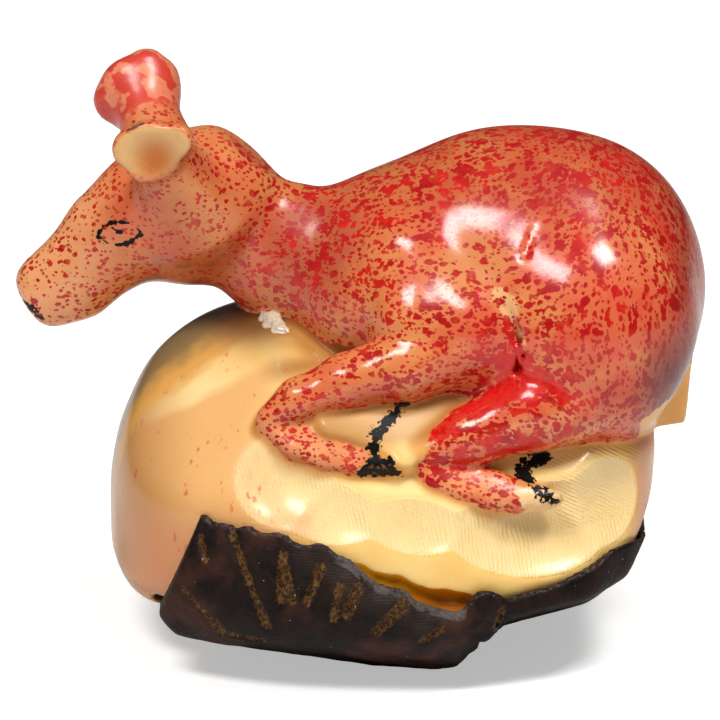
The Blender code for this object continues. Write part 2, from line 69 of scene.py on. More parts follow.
# %% Nodes laid down by name
class Nodes:
    def __init__(self, tree):
        self.tree = tree

    def add(self, kind, **settings):
        node = self.tree.nodes.new(kind)
        for name, value in settings.items():
            setattr(node, name, value)
        return node

    def feed(self, socket, value):
        if isinstance(value, bpy.types.NodeSocket):
            self.tree.links.new(value, socket)
        else:
            socket.default_value = value

    def math(self, operation, *values, clamp=False):
        node = self.add("ShaderNodeMath", operation=operation, use_clamp=clamp)
        for socket, value in zip(node.inputs, values):
            self.feed(socket, value)
        return node.outputs[0]

    def vector(self, operation, *values, scale=None):
        node = self.add("ShaderNodeVectorMath", operation=operation)
        for socket, value in zip(node.inputs, values):
            self.feed(socket, value)
        if scale is not None:
            self.feed(node.inputs["Scale"], scale)
        return node.outputs["Value" if operation in {"LENGTH", "DOT_PRODUCT", "DISTANCE"} else "Vector"]

    def parts(self, vector):
        node = self.add("ShaderNodeSeparateXYZ")
        self.feed(node.inputs[0], vector)
        return node.outputs

    def whole(self, x, y, z):
        node = self.add("ShaderNodeCombineXYZ")
        for socket, value in zip(node.inputs, (x, y, z)):
            self.feed(socket, value)
        return node.outputs[0]

    def ease(self, value, start, end, low=0.0, high=1.0):
        """low up to start, high from end on, a soft S between; start may be the larger one."""
        node = self.add("ShaderNodeMapRange", interpolation_type="SMOOTHSTEP")
        for socket, number in zip(node.inputs, (value, start, end, low, high)):
            self.feed(socket, number)
        return node.outputs[0]

    def within(self, *limits):
        """1 where every limit holds; a limit is a value, where it gives 0 and where it gives 1."""
        result = self.ease(*limits[0])
        for limit in limits[1:]:
            result = self.math("MULTIPLY", result, self.ease(*limit))
        return result

    def noise(self, point, size, detail=2.0, rough=0.5):
        """Cloudy value about 0.5; size is the width of a cloud in the units of point."""
        node = self.add("ShaderNodeTexNoise")
        settings = {"Vector": point, "Scale": 1.0 / size, "Detail": detail, "Roughness": rough}
        for name, value in settings.items():
            self.feed(node.inputs[name], value)
        return node.outputs["Fac"]

    def swell(self, point, size, detail=2.0):
        """The same cloudy value, about 0."""
        return self.math("SUBTRACT", self.noise(point, size, detail), 0.5)

    def curve(self, value, stations, top):
        """Smooth line through (share, height) stations; top is the greatest height that fits."""
        node = self.add("ShaderNodeFloatCurve")
        line = node.mapping.curves[0]
        for _ in range(len(stations) - 2):
            line.points.new(0.5, 0.5)
        for point, (share, height) in zip(line.points, stations):
            point.location = (share, height / top)
        node.mapping.update()
        self.feed(node.inputs["Value"], value)
        return self.math("MULTIPLY", node.outputs[0], top)


print("node bench:", [name for name in vars(Nodes) if not name.startswith("_")])

# %% [markdown]
# ## Clay that is a distance
# A carving has soft fillets where forms meet and crisp edges where a tool passed.  Meshes that are
# joined and cut lose the fillets, and sculpting by code is hard to steer.  A distance does both: each
# lump is a number, in millimetres, below zero inside.  The lesser of two lumps joins them, the greater
# of a body and an inverted tool cuts it, and the soft versions of both leave a fillet as wide as asked.
# A volume holds the sum on a fine grid, and its zero surface becomes the mesh.

# %% Lumps of clay
CENTRING = (0.25, -0.5, 0.0)     # from the middle of the piece to the carver's own middle, mm


class Lumps(Nodes):
    def __init__(self, name):
        super().__init__(bpy.data.node_groups.new(name, "GeometryNodeTree"))
        self.tree.interface.new_socket("Geometry", in_out="OUTPUT", socket_type="NodeSocketGeometry")
        place = self.vector("SCALE", self.add("GeometryNodeInputPosition").outputs[0], scale=1 / MM)
        self.point = self.vector("ADD", place, CENTRING)
        self.marks = {}

    def egg(self, centre, radii, turn=(0, 0, 0)):
        """Ellipsoid: centre, three radii, and how its axes are turned in degrees."""
        local = self.vector("SUBTRACT", self.point, centre)
        if any(turn):
            node = self.add("ShaderNodeVectorRotate", rotation_type="EULER_XYZ", invert=True)
            self.feed(node.inputs["Vector"], local)
            self.feed(node.inputs["Rotation"], [math.radians(angle) for angle in turn])
            local = node.outputs[0]
        near = self.vector("DIVIDE", local, radii)
        reach = self.math("MAXIMUM", self.vector("LENGTH", near), 0.001)
        slope = self.vector("LENGTH", self.vector("DIVIDE", near, radii))
        excess = self.math("MULTIPLY", reach, self.math("SUBTRACT", reach, 1.0))
        return self.math("DIVIDE", excess, self.math("MAXIMUM", slope, 0.00001))

    def limb(self, start, end, start_radius, end_radius, squeeze=1.0):
        """Tapered rod with round ends; squeeze above 1 makes it narrower across (Y)."""
        scaled = (1.0, squeeze, 1.0)
        foot = [a * b for a, b in zip(start, scaled)]
        along = [a * b - c for a, b, c in zip(end, scaled, foot)]
        local = self.vector("SUBTRACT", self.vector("MULTIPLY", self.point, scaled), foot)
        share = self.math("DIVIDE", self.vector("DOT_PRODUCT", local, along), sum(a * a for a in along))
        share = self.math("MINIMUM", self.math("MAXIMUM", share, 0.0), 1.0)
        aside = self.vector("SUBTRACT", local, self.vector("SCALE", along, scale=share))
        radius = self.math("MULTIPLY_ADD", share, end_radius - start_radius, start_radius)
        away = self.math("SUBTRACT", self.vector("LENGTH", aside), radius)
        return self.math("DIVIDE", away, squeeze ** 0.5)

    def chain(self, stations, blend, squeeze=1.0):
        """Limbs through a row of (x, y, z, radius) stations."""
        limbs = [self.limb(a[:3], b[:3], a[3], b[3], squeeze) for a, b in zip(stations, stations[1:])]
        return self.join(limbs, blend)

    def plank(self, stations, facing, thickness, blend, edge):
        """A chain flattened against the plane that faces `facing`, with its edges rounded by `edge`."""
        normal = Vector(facing).normalized()
        middle = sum((Vector(s[:3]) for s in stations), Vector()) / len(stations)
        out = self.side_of(middle, normal)
        flat = self.vector("SUBTRACT", self.point, self.vector("SCALE", tuple(normal), scale=out))
        kept, self.point = self.point, flat
        level = [(*(Vector(s[:3]) - normal * (Vector(s[:3]) - middle).dot(normal)), s[3]) for s in stations]
        outline = self.chain(level, blend)
        self.point = kept
        return self.keep(outline, self.math("SUBTRACT", self.math("ABSOLUTE", out), thickness), edge)

    def side_of(self, through, facing):
        """Flat side: the clay is behind it, the normal points out of it."""
        normal = Vector(facing).normalized()
        level = Vector(through).dot(normal)
        return self.math("SUBTRACT", self.vector("DOT_PRODUCT", self.point, tuple(normal)), level)


print("lumps:", [name for name in vars(Lumps) if not name.startswith("_")])

# %% [markdown]
# ### Joining, cutting and skinning
# Lumps are worked together here.  `mark` keeps a number for the finish, and `skin` is the kiln: after
# it there is a mesh.  The finer the grid's cell, the crisper a cut edge comes out, and the more faces
# there are; a third of a millimetre keeps the ridges between gouge strokes.

# %% Clay that is joined, cut and skinned
FINE_CELL = 0.35                 # grid cell of the deer and nut, mm
HUSK_CELL = 0.28


class Clay(Lumps):
    def nearest(self, distances):
        result = distances[0]
        for distance in distances[1:]:
            result = self.math("MINIMUM", result, distance)
        return result

    def join(self, lumps, blend):
        result = lumps[0]
        for lump in lumps[1:]:
            result = self.math("SMOOTH_MIN", result, lump, blend)
        return result

    def cut(self, body, tool, blend):
        return self.math("SMOOTH_MAX", body, self.math("MULTIPLY", tool, -1.0), blend)

    def keep(self, body, zone, blend):
        return self.math("SMOOTH_MAX", body, zone, blend)

    def wave(self, body, size, height, detail=1.0):
        """Slow swells all over, as a file leaves them."""
        return self.math("MULTIPLY_ADD", self.swell(self.point, size, detail), height, body)

    def mark(self, name, value):
        """Keeps a value on the skin, for the finish to use."""
        self.marks[name] = value

    def skin(self, distance, low, high, cell):
        """Works the distance out on a grid, skins the zero surface and writes the marks on it."""
        cube = self.add("GeometryNodeVolumeCube")
        self.feed(cube.inputs["Density"], self.math("SUBTRACT", 1.0, distance))
        for name, corner in (("Min", low), ("Max", high)):
            self.feed(cube.inputs[name], [value * MM for value in corner])
        for axis, a, b in zip("XYZ", low, high):
            self.feed(cube.inputs["Resolution " + axis], round((b - a) / cell) + 1)
        mesh = self.add("GeometryNodeVolumeToMesh")
        self.feed(mesh.inputs["Volume"], cube.outputs[0])
        self.feed(mesh.inputs["Threshold"], 1.0)
        made = mesh.outputs[0]
        for name, value in self.marks.items():
            store = self.add("GeometryNodeStoreNamedAttribute", data_type="FLOAT", domain="POINT")
            self.feed(store.inputs["Geometry"], made)
            self.feed(store.inputs["Name"], name)
            self.feed(store.inputs["Value"], value)
            made = store.outputs[0]
        smooth = self.add("GeometryNodeSetShadeSmooth")
        self.feed(smooth.inputs["Geometry"], made)
        self.feed(self.add("NodeGroupOutput").inputs[0], smooth.outputs[0])


print("grid cells: deer and nut", FINE_CELL, "mm, husk", HUSK_CELL, "mm")

# %% [markdown]
# ## The nut
# A tagua nut is a boxy egg.  Its own half-lengths above and below the widest level are given, and a
# power a little over 2 squares it off.  The same form serves twice: the flesh is cut from it, and the
# husk is what lies between it and a slightly larger one.

# %% The nut as it grew
NUT_MIDDLE = (2.4, 0.0, 12.0)
NUT_HALF_LENGTH = 23.4
NUT_HALF_DEPTH = 18.2
NUT_CROWN = 15.0
NUT_KEEL = 11.2
NUT_SQUARENESS = 2.7


def boxy_egg(clay):
    x, y, z = clay.parts(clay.vector("SUBTRACT", clay.point, NUT_MIDDLE))
    below = clay.math("MAXIMUM", clay.math("MULTIPLY", z, -1.0), 0.0)
    total, steep = None, None
    for value, radius in (
            (clay.math("ABSOLUTE", x), NUT_HALF_LENGTH), (clay.math("ABSOLUTE", y), NUT_HALF_DEPTH),
            (clay.math("MAXIMUM", z, 0.0), NUT_CROWN), (below, NUT_KEEL)):
        part = clay.math("DIVIDE", value, radius)
        power = clay.math("POWER", part, NUT_SQUARENESS - 1.0)
        slope = clay.math("DIVIDE", power, radius)
        share, slope = clay.math("MULTIPLY", power, part), clay.math("MULTIPLY", slope, slope)
        total = share if total is None else clay.math("ADD", total, share)
        steep = slope if steep is None else clay.math("ADD", steep, slope)
    reach = clay.math("POWER", clay.math("MAXIMUM", total, 0.0001), 1.0 / NUT_SQUARENESS)
    steep = clay.math("SQRT", steep)
    steep = clay.math("MULTIPLY", steep, clay.math("POWER", reach, 1.0 - NUT_SQUARENESS))
    return clay.math("DIVIDE", clay.math("SUBTRACT", reach, 1.0), clay.math("MAXIMUM", steep, 0.001))


print("nut:", 2 * NUT_HALF_LENGTH, "by", 2 * NUT_HALF_DEPTH, "by", NUT_CROWN + NUT_KEEL, "mm")

# %% [markdown]
# ## Flats of the nut
# Nuts grow packed in a head and press flats on one another: here low on the right and on both flanks,
# with a full corner low on the left.  Each flat is one plane that the egg is kept behind.

# %% Flats and the low corner
HUSK_GAP = 0.3
HUSK_THIN = 1.3
NUT_BOTTOM = HUSK_THIN + HUSK_GAP
KEEL_FLATS = (                   # a point on the flat, the way it faces, softness of its edge
    ((0.0, 0.0, NUT_BOTTOM), (0.0, 0.0, -1.0), 0.6), ((2.0, 0.0, NUT_BOTTOM), (-0.235, 0.0, -0.97), 0.8),
    ((-3.5, 0.0, 3.0), (-0.27, 0.0, -0.963), 0.8), ((23.8, 0.0, 10.6), (0.85, 0.0, -0.53), 1.6),
)


def nut_body(clay):
    corner = clay.egg((-13.4, 0.0, 8.4), (7.9, 12.0, 7.4))
    body = clay.join([boxy_egg(clay), corner], 3.0)
    for place, facing, soft in KEEL_FLATS:
        body = clay.keep(body, clay.side_of(place, facing), soft)
    step = clay.side_of((7.0, 0.0, 2.85), (0.755, 0.0, -0.656))
    for side in (-1, 1):
        right_facet = clay.side_of((17.5, 7.5 * side, 6.1), (0.26, 0.34 * side, -0.91))
        left_facet = clay.side_of((-2.0, 8.4 * side, 2.2), (-0.10, 0.42 * side, -0.90))
        body = clay.keep(body, clay.math("MINIMUM", right_facet, step), 1.0)
        body = clay.keep(body, left_facet, 2.0)
    return body


print("flats of the nut:", len(KEEL_FLATS) + 4)

# %% [markdown]
# ## Dome and heel
# In front of the deer the flesh is left as a dome, and the nut's left end sticks out low down as a
# blunt heel.  The upper front of the dome is planed off in one broad facet, which stops at a soft
# ridge.

# %% Dome and heel
DOME_EGGS = (((-6.4, 0.0, 13.2), (15.3, 17.0, 17.1)), ((-11.2, 0.0, 19.2), (8.2, 12.0, 9.2)))
DOME_FOOT = 8.5


def dome_lump(clay):
    dome = clay.join([clay.egg(centre, radii) for centre, radii in DOME_EGGS], 3.0)
    return clay.keep(dome, clay.side_of((0.0, 0.0, DOME_FOOT), (0.0, 0.0, -1.0)), 1.0)


def heel_lump(clay):
    heel = clay.egg((-16.6, 0.0, 8.4), (4.9, 11.5, 4.7))
    beyond = clay.side_of((-17.3, 0.0, 7.8), (1.0, 0.0, -0.40))
    below = clay.side_of((-17.3, 0.0, 5.1), (0.84, 0.0, 0.54))
    return clay.keep(heel, clay.math("MINIMUM", beyond, below), 0.2)


def plane_dome(clay, base):
    for side in (-1, 1):
        front = clay.side_of((-13.6, 6.6 * side, 24.6 if side < 0 else 26.2), (-0.52, 0.52 * side, 0.68))
        flank = clay.side_of((-12.6, 14.9 * side, 19.0), (-0.30, 0.80 * side, 0.50))
        base = clay.keep(clay.keep(base, front, 1.8), flank, 1.2)
    return base


print("dome before planing:", DOME_EGGS[0][0][2] + DOME_EGGS[0][1][2], "mm high")

# %% [markdown]
# ## Bench and web
# Beside the deer's legs the nut is cut down to a sloping bench, and a low web of flesh is left
# standing between the legs, so that thin legs don't stand free.  The bench is one plane on each side;
# the web is a plank lying on it.

# %% Bench and web
BENCH_FACING = (0.09, 0.72, 0.69)
WEB = (                          # X, Y, Z and radius of the lumps in the web
    (3.7, 14.2, 19.9, 1.2), (5.0, 13.6, 21.9, 1.5), (2.6, 13.4, 21.6, 1.6), (-2.2, 13.3, 23.2, 1.2),
    (1.8, 12.9, 23.2, 1.8), (5.3, 12.2, 23.8, 1.8), (8.7, 11.6, 24.4, 1.4), (12.0, 10.6, 25.6, 1.0),
)


def mirrored(rows, side):
    """The same stations on either side; they are given for the far side, where Y is positive."""
    return [(x, y * side, z, radius) for x, y, z, radius in rows]


def bench_facing(side):
    return BENCH_FACING[0], BENCH_FACING[1] * side, BENCH_FACING[2]


def cut_bench(clay, base):
    for side in (-1, 1):
        base = clay.keep(base, clay.side_of((0.8, 14.0 * side, 20.4), bench_facing(side)), 1.0)
        web = clay.plank(mirrored(WEB, side), bench_facing(side), 1.0, 1.0, 0.8)
        base = clay.join([base, web], 1.2)
    return base


print("bench slopes", round(math.degrees(math.acos(Vector(BENCH_FACING).normalized().z))), "degrees")

# %% [markdown]
# ## Gouge strokes and slit
# A shallow gouge has gone along the bench's outer edge in overlapping strokes.  Each stroke is a ball
# pushed a little way in, so neighbours meet in a ridge.  Under the strokes the flesh overhangs a thin
# slit against the husk.

# %% Gouged edge
NUT_HEART = (2.1, 0.0, 1.0)      # the strokes were pushed towards this place
STROKES = (                      # place on the edge, radius along the nut, tilt, depth, softness of the rim
    ((-5.0, -16.6, 17.6), 8.0, 42, 0.40, 0.9), ((-1.0, -17.9, 15.1), 9.0, 12, 0.55, 0.25),
    ((3.8, -18.1, 14.3), 9.0, 14, 0.62, 0.12), ((10.7, -17.6, 13.2), 16.0, 6, 0.80, 0.12),
    ((19.0, -15.0, 13.9), 13.0, 0, 0.60, 0.25),
)
STROKE_RISE = 7.0                # radius of the gouge's own sweep, up and down
STROKE_REACH = 6.0
STROKE_ROLL = -20                # degrees that the gouge leaned back
SLIT = (                         # X, Y, Z and radius along the slit
    (-1.2, -18.5, 12.5, 0.2), (0.1, -18.5, 11.5, 0.5), (1.7, -18.5, 10.4, 0.75), (3.2, -18.5, 10.0, 0.95),
    (4.9, -18.4, 9.0, 1.0), (7.1, -18.2, 8.4, 1.2), (9.0, -17.9, 8.2, 1.1),
)


def gouge_edge(clay, base):
    for place, length, tilt, depth, soft in STROKES:
        facing = (Vector(place) - Vector(NUT_HEART)).normalized()
        centre = Vector(place) + facing * (STROKE_REACH - depth)
        lean = math.degrees(math.atan2(facing.x, -facing.y))
        gouge = clay.egg(tuple(centre), (length, STROKE_REACH, STROKE_RISE), (STROKE_ROLL, tilt, lean))
        base = clay.cut(base, gouge, soft)
    return base


def carved_base(clay):
    """The nut with dome, bench, strokes and slit; it marks where the flesh was pared and gouged."""
    dome = dome_lump(clay)
    seat = clay.egg((19.4, 0.0, 17.4), (6.6, 11.6, 7.0))
    nut = clay.join([clay.join([nut_body(clay), heel_lump(clay)], 0.5), seat], 1.5)
    natural = clay.wave(clay.join([nut, dome], 2.5), 9.0, 0.3)
    base = clay.wave(clay.join([cut_bench(clay, nut), dome], 2.5), 9.0, 0.3)
    base = plane_dome(clay, base)
    whole = clay.keep(base, clay.side_of((0.0, 0.0, NUT_BOTTOM), (0.0, 0.0, -1.0)), 0.5)
    base = gouge_edge(clay, whole)
    clay.mark("gouged", clay.math("SUBTRACT", base, whole))
    clay.mark("pared", clay.math("ABSOLUTE", clay.math("SUBTRACT", base, natural)))
    slit = clay.chain(SLIT, 0.8)
    clay.mark("slit", clay.math("MULTIPLY", slit, -1.0))
    return clay.cut(base, slit, 0.12)


print("gouged edge:", len(STROKES), "strokes,", max(stroke[3] for stroke in STROKES), "mm deep at most")

# %% [markdown]
# ## Torso
# The body is three overlapping eggs, with a haunch and an upper arm laid on each side of it, a crease
# cut between the two, and a small nick where the tool slipped.  Both sides are the same, as on a real
# animal, so loops serve them both.

# %% Torso
UPPER_ARM = ((5.2, 6.0, 35.4, 4.4), (9.3, 9.0, 30.9, 4.7), (4.8, 9.3, 31.4, 3.6), (4.2, 6.0, 36.2, 3.9))
CREASE = (                       # between upper arm and haunch
    (11.2, 12.3, 35.4, 0.15), (12.7, 12.9, 33.2, 0.28), (13.9, 13.2, 31.2, 0.38), (14.3, 13.2, 29.6, 0.5),
    (13.8, 13.2, 28.0, 0.5),
)
NICK = ((15.1, 9.9, 40.0, 0.22), (14.1, 11.3, 37.7, 0.3))


def deer_torso(clay):
    torso = clay.join([
        clay.egg((13.6, 0.0, 29.1), (16.6, 12.4, 16.8)),
        clay.egg((3.6, 0.0, 31.6), (10.0, 9.8, 10.4)),
        clay.egg((19.3, 0.0, 33.3), (10.0, 11.0, 11.0)),
    ], 4.0)
    for side in (-1, 1):
        haunch = clay.egg((19.0, 6.0 * side, 29.8), (10.4, 9.2, 10.8), (0, 12, 0))
        torso = clay.join([torso, haunch], 2.5)
    torso = clay.keep(torso, clay.side_of((29.3, 0.0, 26.0), (0.90, 0.0, -0.43)), 3.0)
    for side in (-1, 1):
        torso = clay.join([torso, clay.chain(mirrored(UPPER_ARM, side), 1.5)], 2.0)
        torso = clay.cut(torso, clay.chain(mirrored(CREASE, side), 0.6), 0.8)
        torso = clay.cut(torso, clay.chain(mirrored(NICK, side), 0.25), 0.25)
    return torso


print("crease from", CREASE[0][2], "down to", CREASE[-1][2], "mm up")

# %% [markdown]
# ## Neck and head
# Neck and head are chains of rods that thin towards the muzzle, narrower across than they are high.
# The muzzle's end and the crown are cut off flat, as the carver left them.

# %% Neck and head
NECK = ((0.6, 0.0, 32.8, 7.6), (-4.9, 0.0, 34.0, 6.2), (-10.2, 0.0, 36.7, 5.4))
HEAD = ((-12.9, 0.0, 39.9, 6.2), (-18.1, 0.0, 38.2, 5.3), (-21.4, 0.0, 36.0, 4.3),
        (-24.8, 0.0, 32.6, 3.6), (-26.9, 0.0, 31.4, 3.3))


def deer_neck_and_head(clay):
    neck = clay.chain(NECK, 2.4, 1.3)
    cheek = clay.egg((-14.6, 0.0, 36.2), (5.0, 3.9, 4.3))
    head = clay.join([clay.chain(HEAD, 2.0, 1.15), cheek], 2.0)
    head = clay.keep(head, clay.side_of((-29.2, 0.0, 30.2), (-0.85, 0.0, -0.53)), 1.2)
    head = clay.keep(head, clay.side_of((-9.4, 0.0, 43.9), (0.67, 0.0, 0.74)), 1.5)
    return clay.join([neck, head], 1.5)


print("neck tapers from", 2 * NECK[0][3], "to", 2 * NECK[-1][3], "mm")

# %% [markdown]
# ## Ears
# An ear is a leaf with three rounded corners on a short stem, hollowed on the side that faces away
# from the head.  It could be a bent sheet, but the carver cut it from the solid, so here too it is a
# flattened chain of lumps with an egg scooped out of it.  The two ears are not a pair: the near one
# is the smaller, and leans.

# %% Ears
EARS = {
    -1: {"middle": (-17.9, -8.6, 46.4),
         "leaf": ((-1.8, 0.3, -0.1), (2.5, -0.5, 0.8), (-0.4, 0.0, -1.5)),
         "radii": (2.2, 1.4), "back": (3.3, 2.2, 2.3), "fillet": 1.0,
         "stem": ((-14.5, -2.3, 39.6), (1.1, 1.6, -1.2), 5.2, 2.3)},
    1: {"middle": (-19.5, 8.6, 47.2),
        "leaf": ((-2.2, 0.2, -0.9), (0.9, 0.0, 1.9), (2.0, -0.4, 1.0), (-0.6, 0.0, -1.8)),
        "radii": (2.6, 1.6), "back": (3.6, 1.9, 3.3), "fillet": 1.5,
        "stem": ((-17.2, 3.6, 42.6), (0.6, -1.4, -0.9), 3.1, 2.6)},
}
EAR_SCOOP = (5.1, 2.2, 4.1)


def deer_ear(clay, side):
    """The ear, and how deep its hollow is."""
    cut = EARS[side]
    middle = Vector(cut["middle"])
    rows = [(*middle, cut["radii"][0])]
    for x, y, z in cut["leaf"]:
        rows += [(*(middle + Vector((x, y * side, z))), cut["radii"][1]), rows[0]]
    leaf = clay.plank(rows, (-0.22, side, 0.10), 1.0, 0.6, 1.0)
    back = clay.egg(tuple(middle + Vector((0.2, -0.9 * side, -0.1))), cut["back"])
    root, tip, root_radius, tip_radius = cut["stem"]
    stem = clay.limb(root, tuple(middle + Vector(tip)), root_radius, tip_radius)
    ear = clay.join([stem, back, leaf], cut["fillet"])
    scoop = clay.egg(tuple(middle + Vector((0.3, 2.5 * side, -0.4))), EAR_SCOOP, (0, 0, 12 * side))
    hollowed = clay.cut(ear, scoop, 0.7)
    return hollowed, clay.math("SUBTRACT", hollowed, ear)


print("ears: middles", [cut["middle"][2] for cut in EARS.values()], "mm up")

# %% [markdown]
# ## Legs
# The legs are in low relief.  The upper part of each is a tapering rod, the lower part a thin plank
# laid flat on the bench, and the two meet in a sharp V.  Rods alone would stand too far off the bench.

# %% Legs
FOREARM = ((9.4, 10.0, 30.0, 3.8), (4.0, 11.2, 27.9, 3.1), (-1.2, 12.2, 26.7, 2.25),
           (-5.2, 12.9, 25.3, 1.75), (-7.6, 13.4, 23.9, 1.15))
FRONT_FOOT = ((-7.9, 13.6, 23.2, 0.9), (-5.1, 14.3, 22.3, 1.75), (-2.5, 14.4, 21.5, 2.1),
              (-0.3, 14.4, 20.7, 1.8), (1.8, 14.4, 20.0, 1.2), (3.3, 14.6, 19.4, 0.6))
SHANK = ((17.6, 11.0, 24.9, 4.2), (15.2, 12.2, 24.2, 3.5), (9.6, 13.2, 22.1, 2.5), (5.2, 14.2, 20.7, 1.3))
HIND_FOOT = ((4.9, 14.0, 20.0, 1.0), (7.0, 14.4, 19.2, 1.75), (9.1, 14.9, 18.4, 1.65),
             (11.3, 15.1, 17.8, 1.7), (13.5, 15.3, 17.3, 1.4), (15.6, 15.2, 17.1, 1.0),
             (17.1, 15.1, 16.9, 0.5))
FOOT_HALF_THICK = 1.1


def deer_legs(clay, side):
    legs = []
    for rod, foot in ((FOREARM, FRONT_FOOT), (SHANK, HIND_FOOT)):
        upper = clay.chain(mirrored(rod, side), 1.5)
        lower = clay.plank(mirrored(foot, side), bench_facing(side), FOOT_HALF_THICK, 0.8, 1.5)
        legs.append(clay.join([upper, lower], 0.6))
    return clay.join(legs, 0.4)


print("legs: feet", 2 * FOOT_HALF_THICK, "mm thick")

# %% [markdown]
# ## Tail
# The tail is a stub that was left square from the saw: an egg with its end, its underside and one
# flank cut flat.

# %% Tail
TAIL_CUTS = (                    # a point on the cut, and the way that the cut faces
    ((28.9, 0.0, 23.5), (1.0, 0.0, -0.08)), ((26.0, 0.0, 19.5), (0.14, 0.0, -1.0)),
    ((26.0, -2.9, 22.0), (0.0, -1.0, -0.1)),
)


def deer_tail(clay):
    tail = clay.egg((26.6, -0.4, 23.4), (4.4, 4.4, 6.0))
    for place, facing in TAIL_CUTS:
        tail = clay.keep(tail, clay.side_of(place, facing), 0.5)
    return tail


print("tail:", len(TAIL_CUTS), "flat cuts")

# %% [markdown]
# ## Where the brushes went
# The finish has to follow the carving: the black runs along the hoof, the red floods the crease.
# Textures know nothing of that, but the clay does.  So while the distances are at hand, the ones that
# the finish needs are written on the skin as marks: how far a point is from each stroke of a brush,
# how thickly it is dabbed, and which places the painter left bare.

# %% Where the brushes went
EYE = (-20.75, 37.7)             # middle of the eye, X and Z
EYE_HALF_LENGTH = 1.95
EYE_HALF_HEIGHT = 1.02
EYE_SLANT = 0.13
ENAMEL_STROKES = (               # from, to, radius; nostril first, then the front and the hind hoof
    ((-29.1, 1.9, 30.9), (-28.3, 2.3, 29.9), 0.22), ((-28.3, 2.3, 29.8), (-27.7, 2.2, 29.2), 0.12),
    ((4.0, 12.6, 25.0), (3.0, 13.4, 24.0), 0.40), ((3.0, 13.4, 24.0), (1.6, 14.7, 22.9), 0.58),
    ((1.6, 14.7, 22.9), (1.3, 15.4, 21.8), 0.45), ((1.4, 15.5, 21.4), (1.7, 15.7, 20.6), 0.48),
    ((1.3, 15.9, 20.3), (2.4, 15.8, 20.2), 0.70), ((0.4, 15.9, 19.6), (3.3, 15.6, 19.5), 0.45),
    ((15.8, 12.6, 20.2), (14.3, 13.6, 19.3), 0.66), ((14.2, 13.7, 19.2), (14.4, 14.8, 18.1), 0.72),
    ((14.3, 14.7, 18.0), (15.7, 15.5, 17.7), 0.62), ((15.8, 15.7, 17.7), (17.4, 16.0, 16.9), 0.36),
)
FLOOD_STROKES = (                # the red ran together where thigh and elbow meet
    ((12.9, 13.0, 28.8), (17.4, 13.6, 27.2), 1.5), ((15.8, 13.4, 26.4), (10.8, 14.0, 25.3), 1.7),
    ((10.8, 14.0, 25.3), (6.6, 14.6, 23.4), 1.1), ((17.0, 15.0, 22.8), (8.6, 15.4, 20.8), 0.6),
)
WIPED_STROKES = (                # and the crease was wiped half clean
    ((11.6, 12.2, 35.4), (13.3, 12.7, 33.0), 0.42), ((13.8, 12.9, 31.6), (14.8, 12.9, 30.4), 0.34),
    ((14.8, 12.9, 30.2), (17.0, 13.4, 28.4), 0.36),
)
NOTCH_SHADE_STROKE = ((-20.0, -8.9, 48.5), (-18.7, -8.9, 49.0), 0.5)  # a dark mark painted as the shade of a notch on the near ear's rim

print("strokes:", len(ENAMEL_STROKES), "black,", len(FLOOD_STROKES), "red,", len(WIPED_STROKES), "wiped")

# %% [markdown]
# ### Strokes and lids
# Both sides of the deer are painted alike, so a stroke is measured once, from the middle plane
# outwards.  The lids of the eye are two arcs that meet in points.

# %% Strokes and lids on the skin
def mark_strokes(clay):
    """How far each brush stroke is, the same on both sides; gives back 1 along the shank."""
    x, y, z = clay.parts(clay.point)
    kept, clay.point = clay.point, clay.whole(x, clay.math("ABSOLUTE", y), z)
    for name, strokes in (
            ("enamel", ENAMEL_STROKES), ("flood", FLOOD_STROKES), ("wiped", WIPED_STROKES)):
        clay.mark(name, clay.nearest([clay.limb(a, b, radius, radius) for a, b, radius in strokes]))
    clay.mark("web", clay.ease(clay.limb((-2.0, 13.6, 22.6), (9.0, 12.6, 23.8), 0.0, 0.0), 3.2, 1.6))
    clay.mark("saddle", clay.ease(clay.vector("DISTANCE", clay.point, (9.8, 10.8, 37.0)), 4.5, 1.5))
    clay.mark("satin", clay.ease(clay.vector("DISTANCE", clay.point, (-4.2, 5.5, 37.0)), 7.0, 2.5))
    shank = clay.ease(clay.limb((17.0, 13.0, 25.4), (6.5, 14.6, 21.6), 0.0, 0.0), 3.2, 1.8)
    clay.point = kept
    clay.mark("scorch", clay.limb(NOTCH_SHADE_STROKE[0], NOTCH_SHADE_STROKE[1], NOTCH_SHADE_STROKE[2], NOTCH_SHADE_STROKE[2]))
    return shank


def mark_lids(clay):
    """Both lids of the eye are arcs; below zero lies between them."""
    x, y, z = clay.parts(clay.point)
    across = clay.math("SUBTRACT", x, EYE[0])
    rise = clay.math("MULTIPLY_ADD", across, -EYE_SLANT, clay.math("SUBTRACT", z, EYE[1]))
    arc = (EYE_HALF_LENGTH ** 2 + EYE_HALF_HEIGHT ** 2) / (2 * EYE_HALF_HEIGHT)
    lids = []
    for drop in (arc - EYE_HALF_HEIGHT, EYE_HALF_HEIGHT - arc):
        centre = clay.whole(across, 0.0, clay.math("ADD", rise, drop))
        lids.append(clay.math("SUBTRACT", clay.vector("LENGTH", centre), arc))
    clay.mark("lids", clay.math("SMOOTH_MAX", lids[0], lids[1], 0.5))


print("eye slants", round(math.degrees(math.atan(EYE_SLANT)), 1), "degrees")

# %% [markdown]
# ### Thick and bare places
# The painter dabbed the back and the rump thickly, the saddle and the head thinly, and left out what
# can't be seen.

# %% Thick and bare places on the skin
DABS_EVERYWHERE = 0.80           # share of places that take a dab, before more and less are added


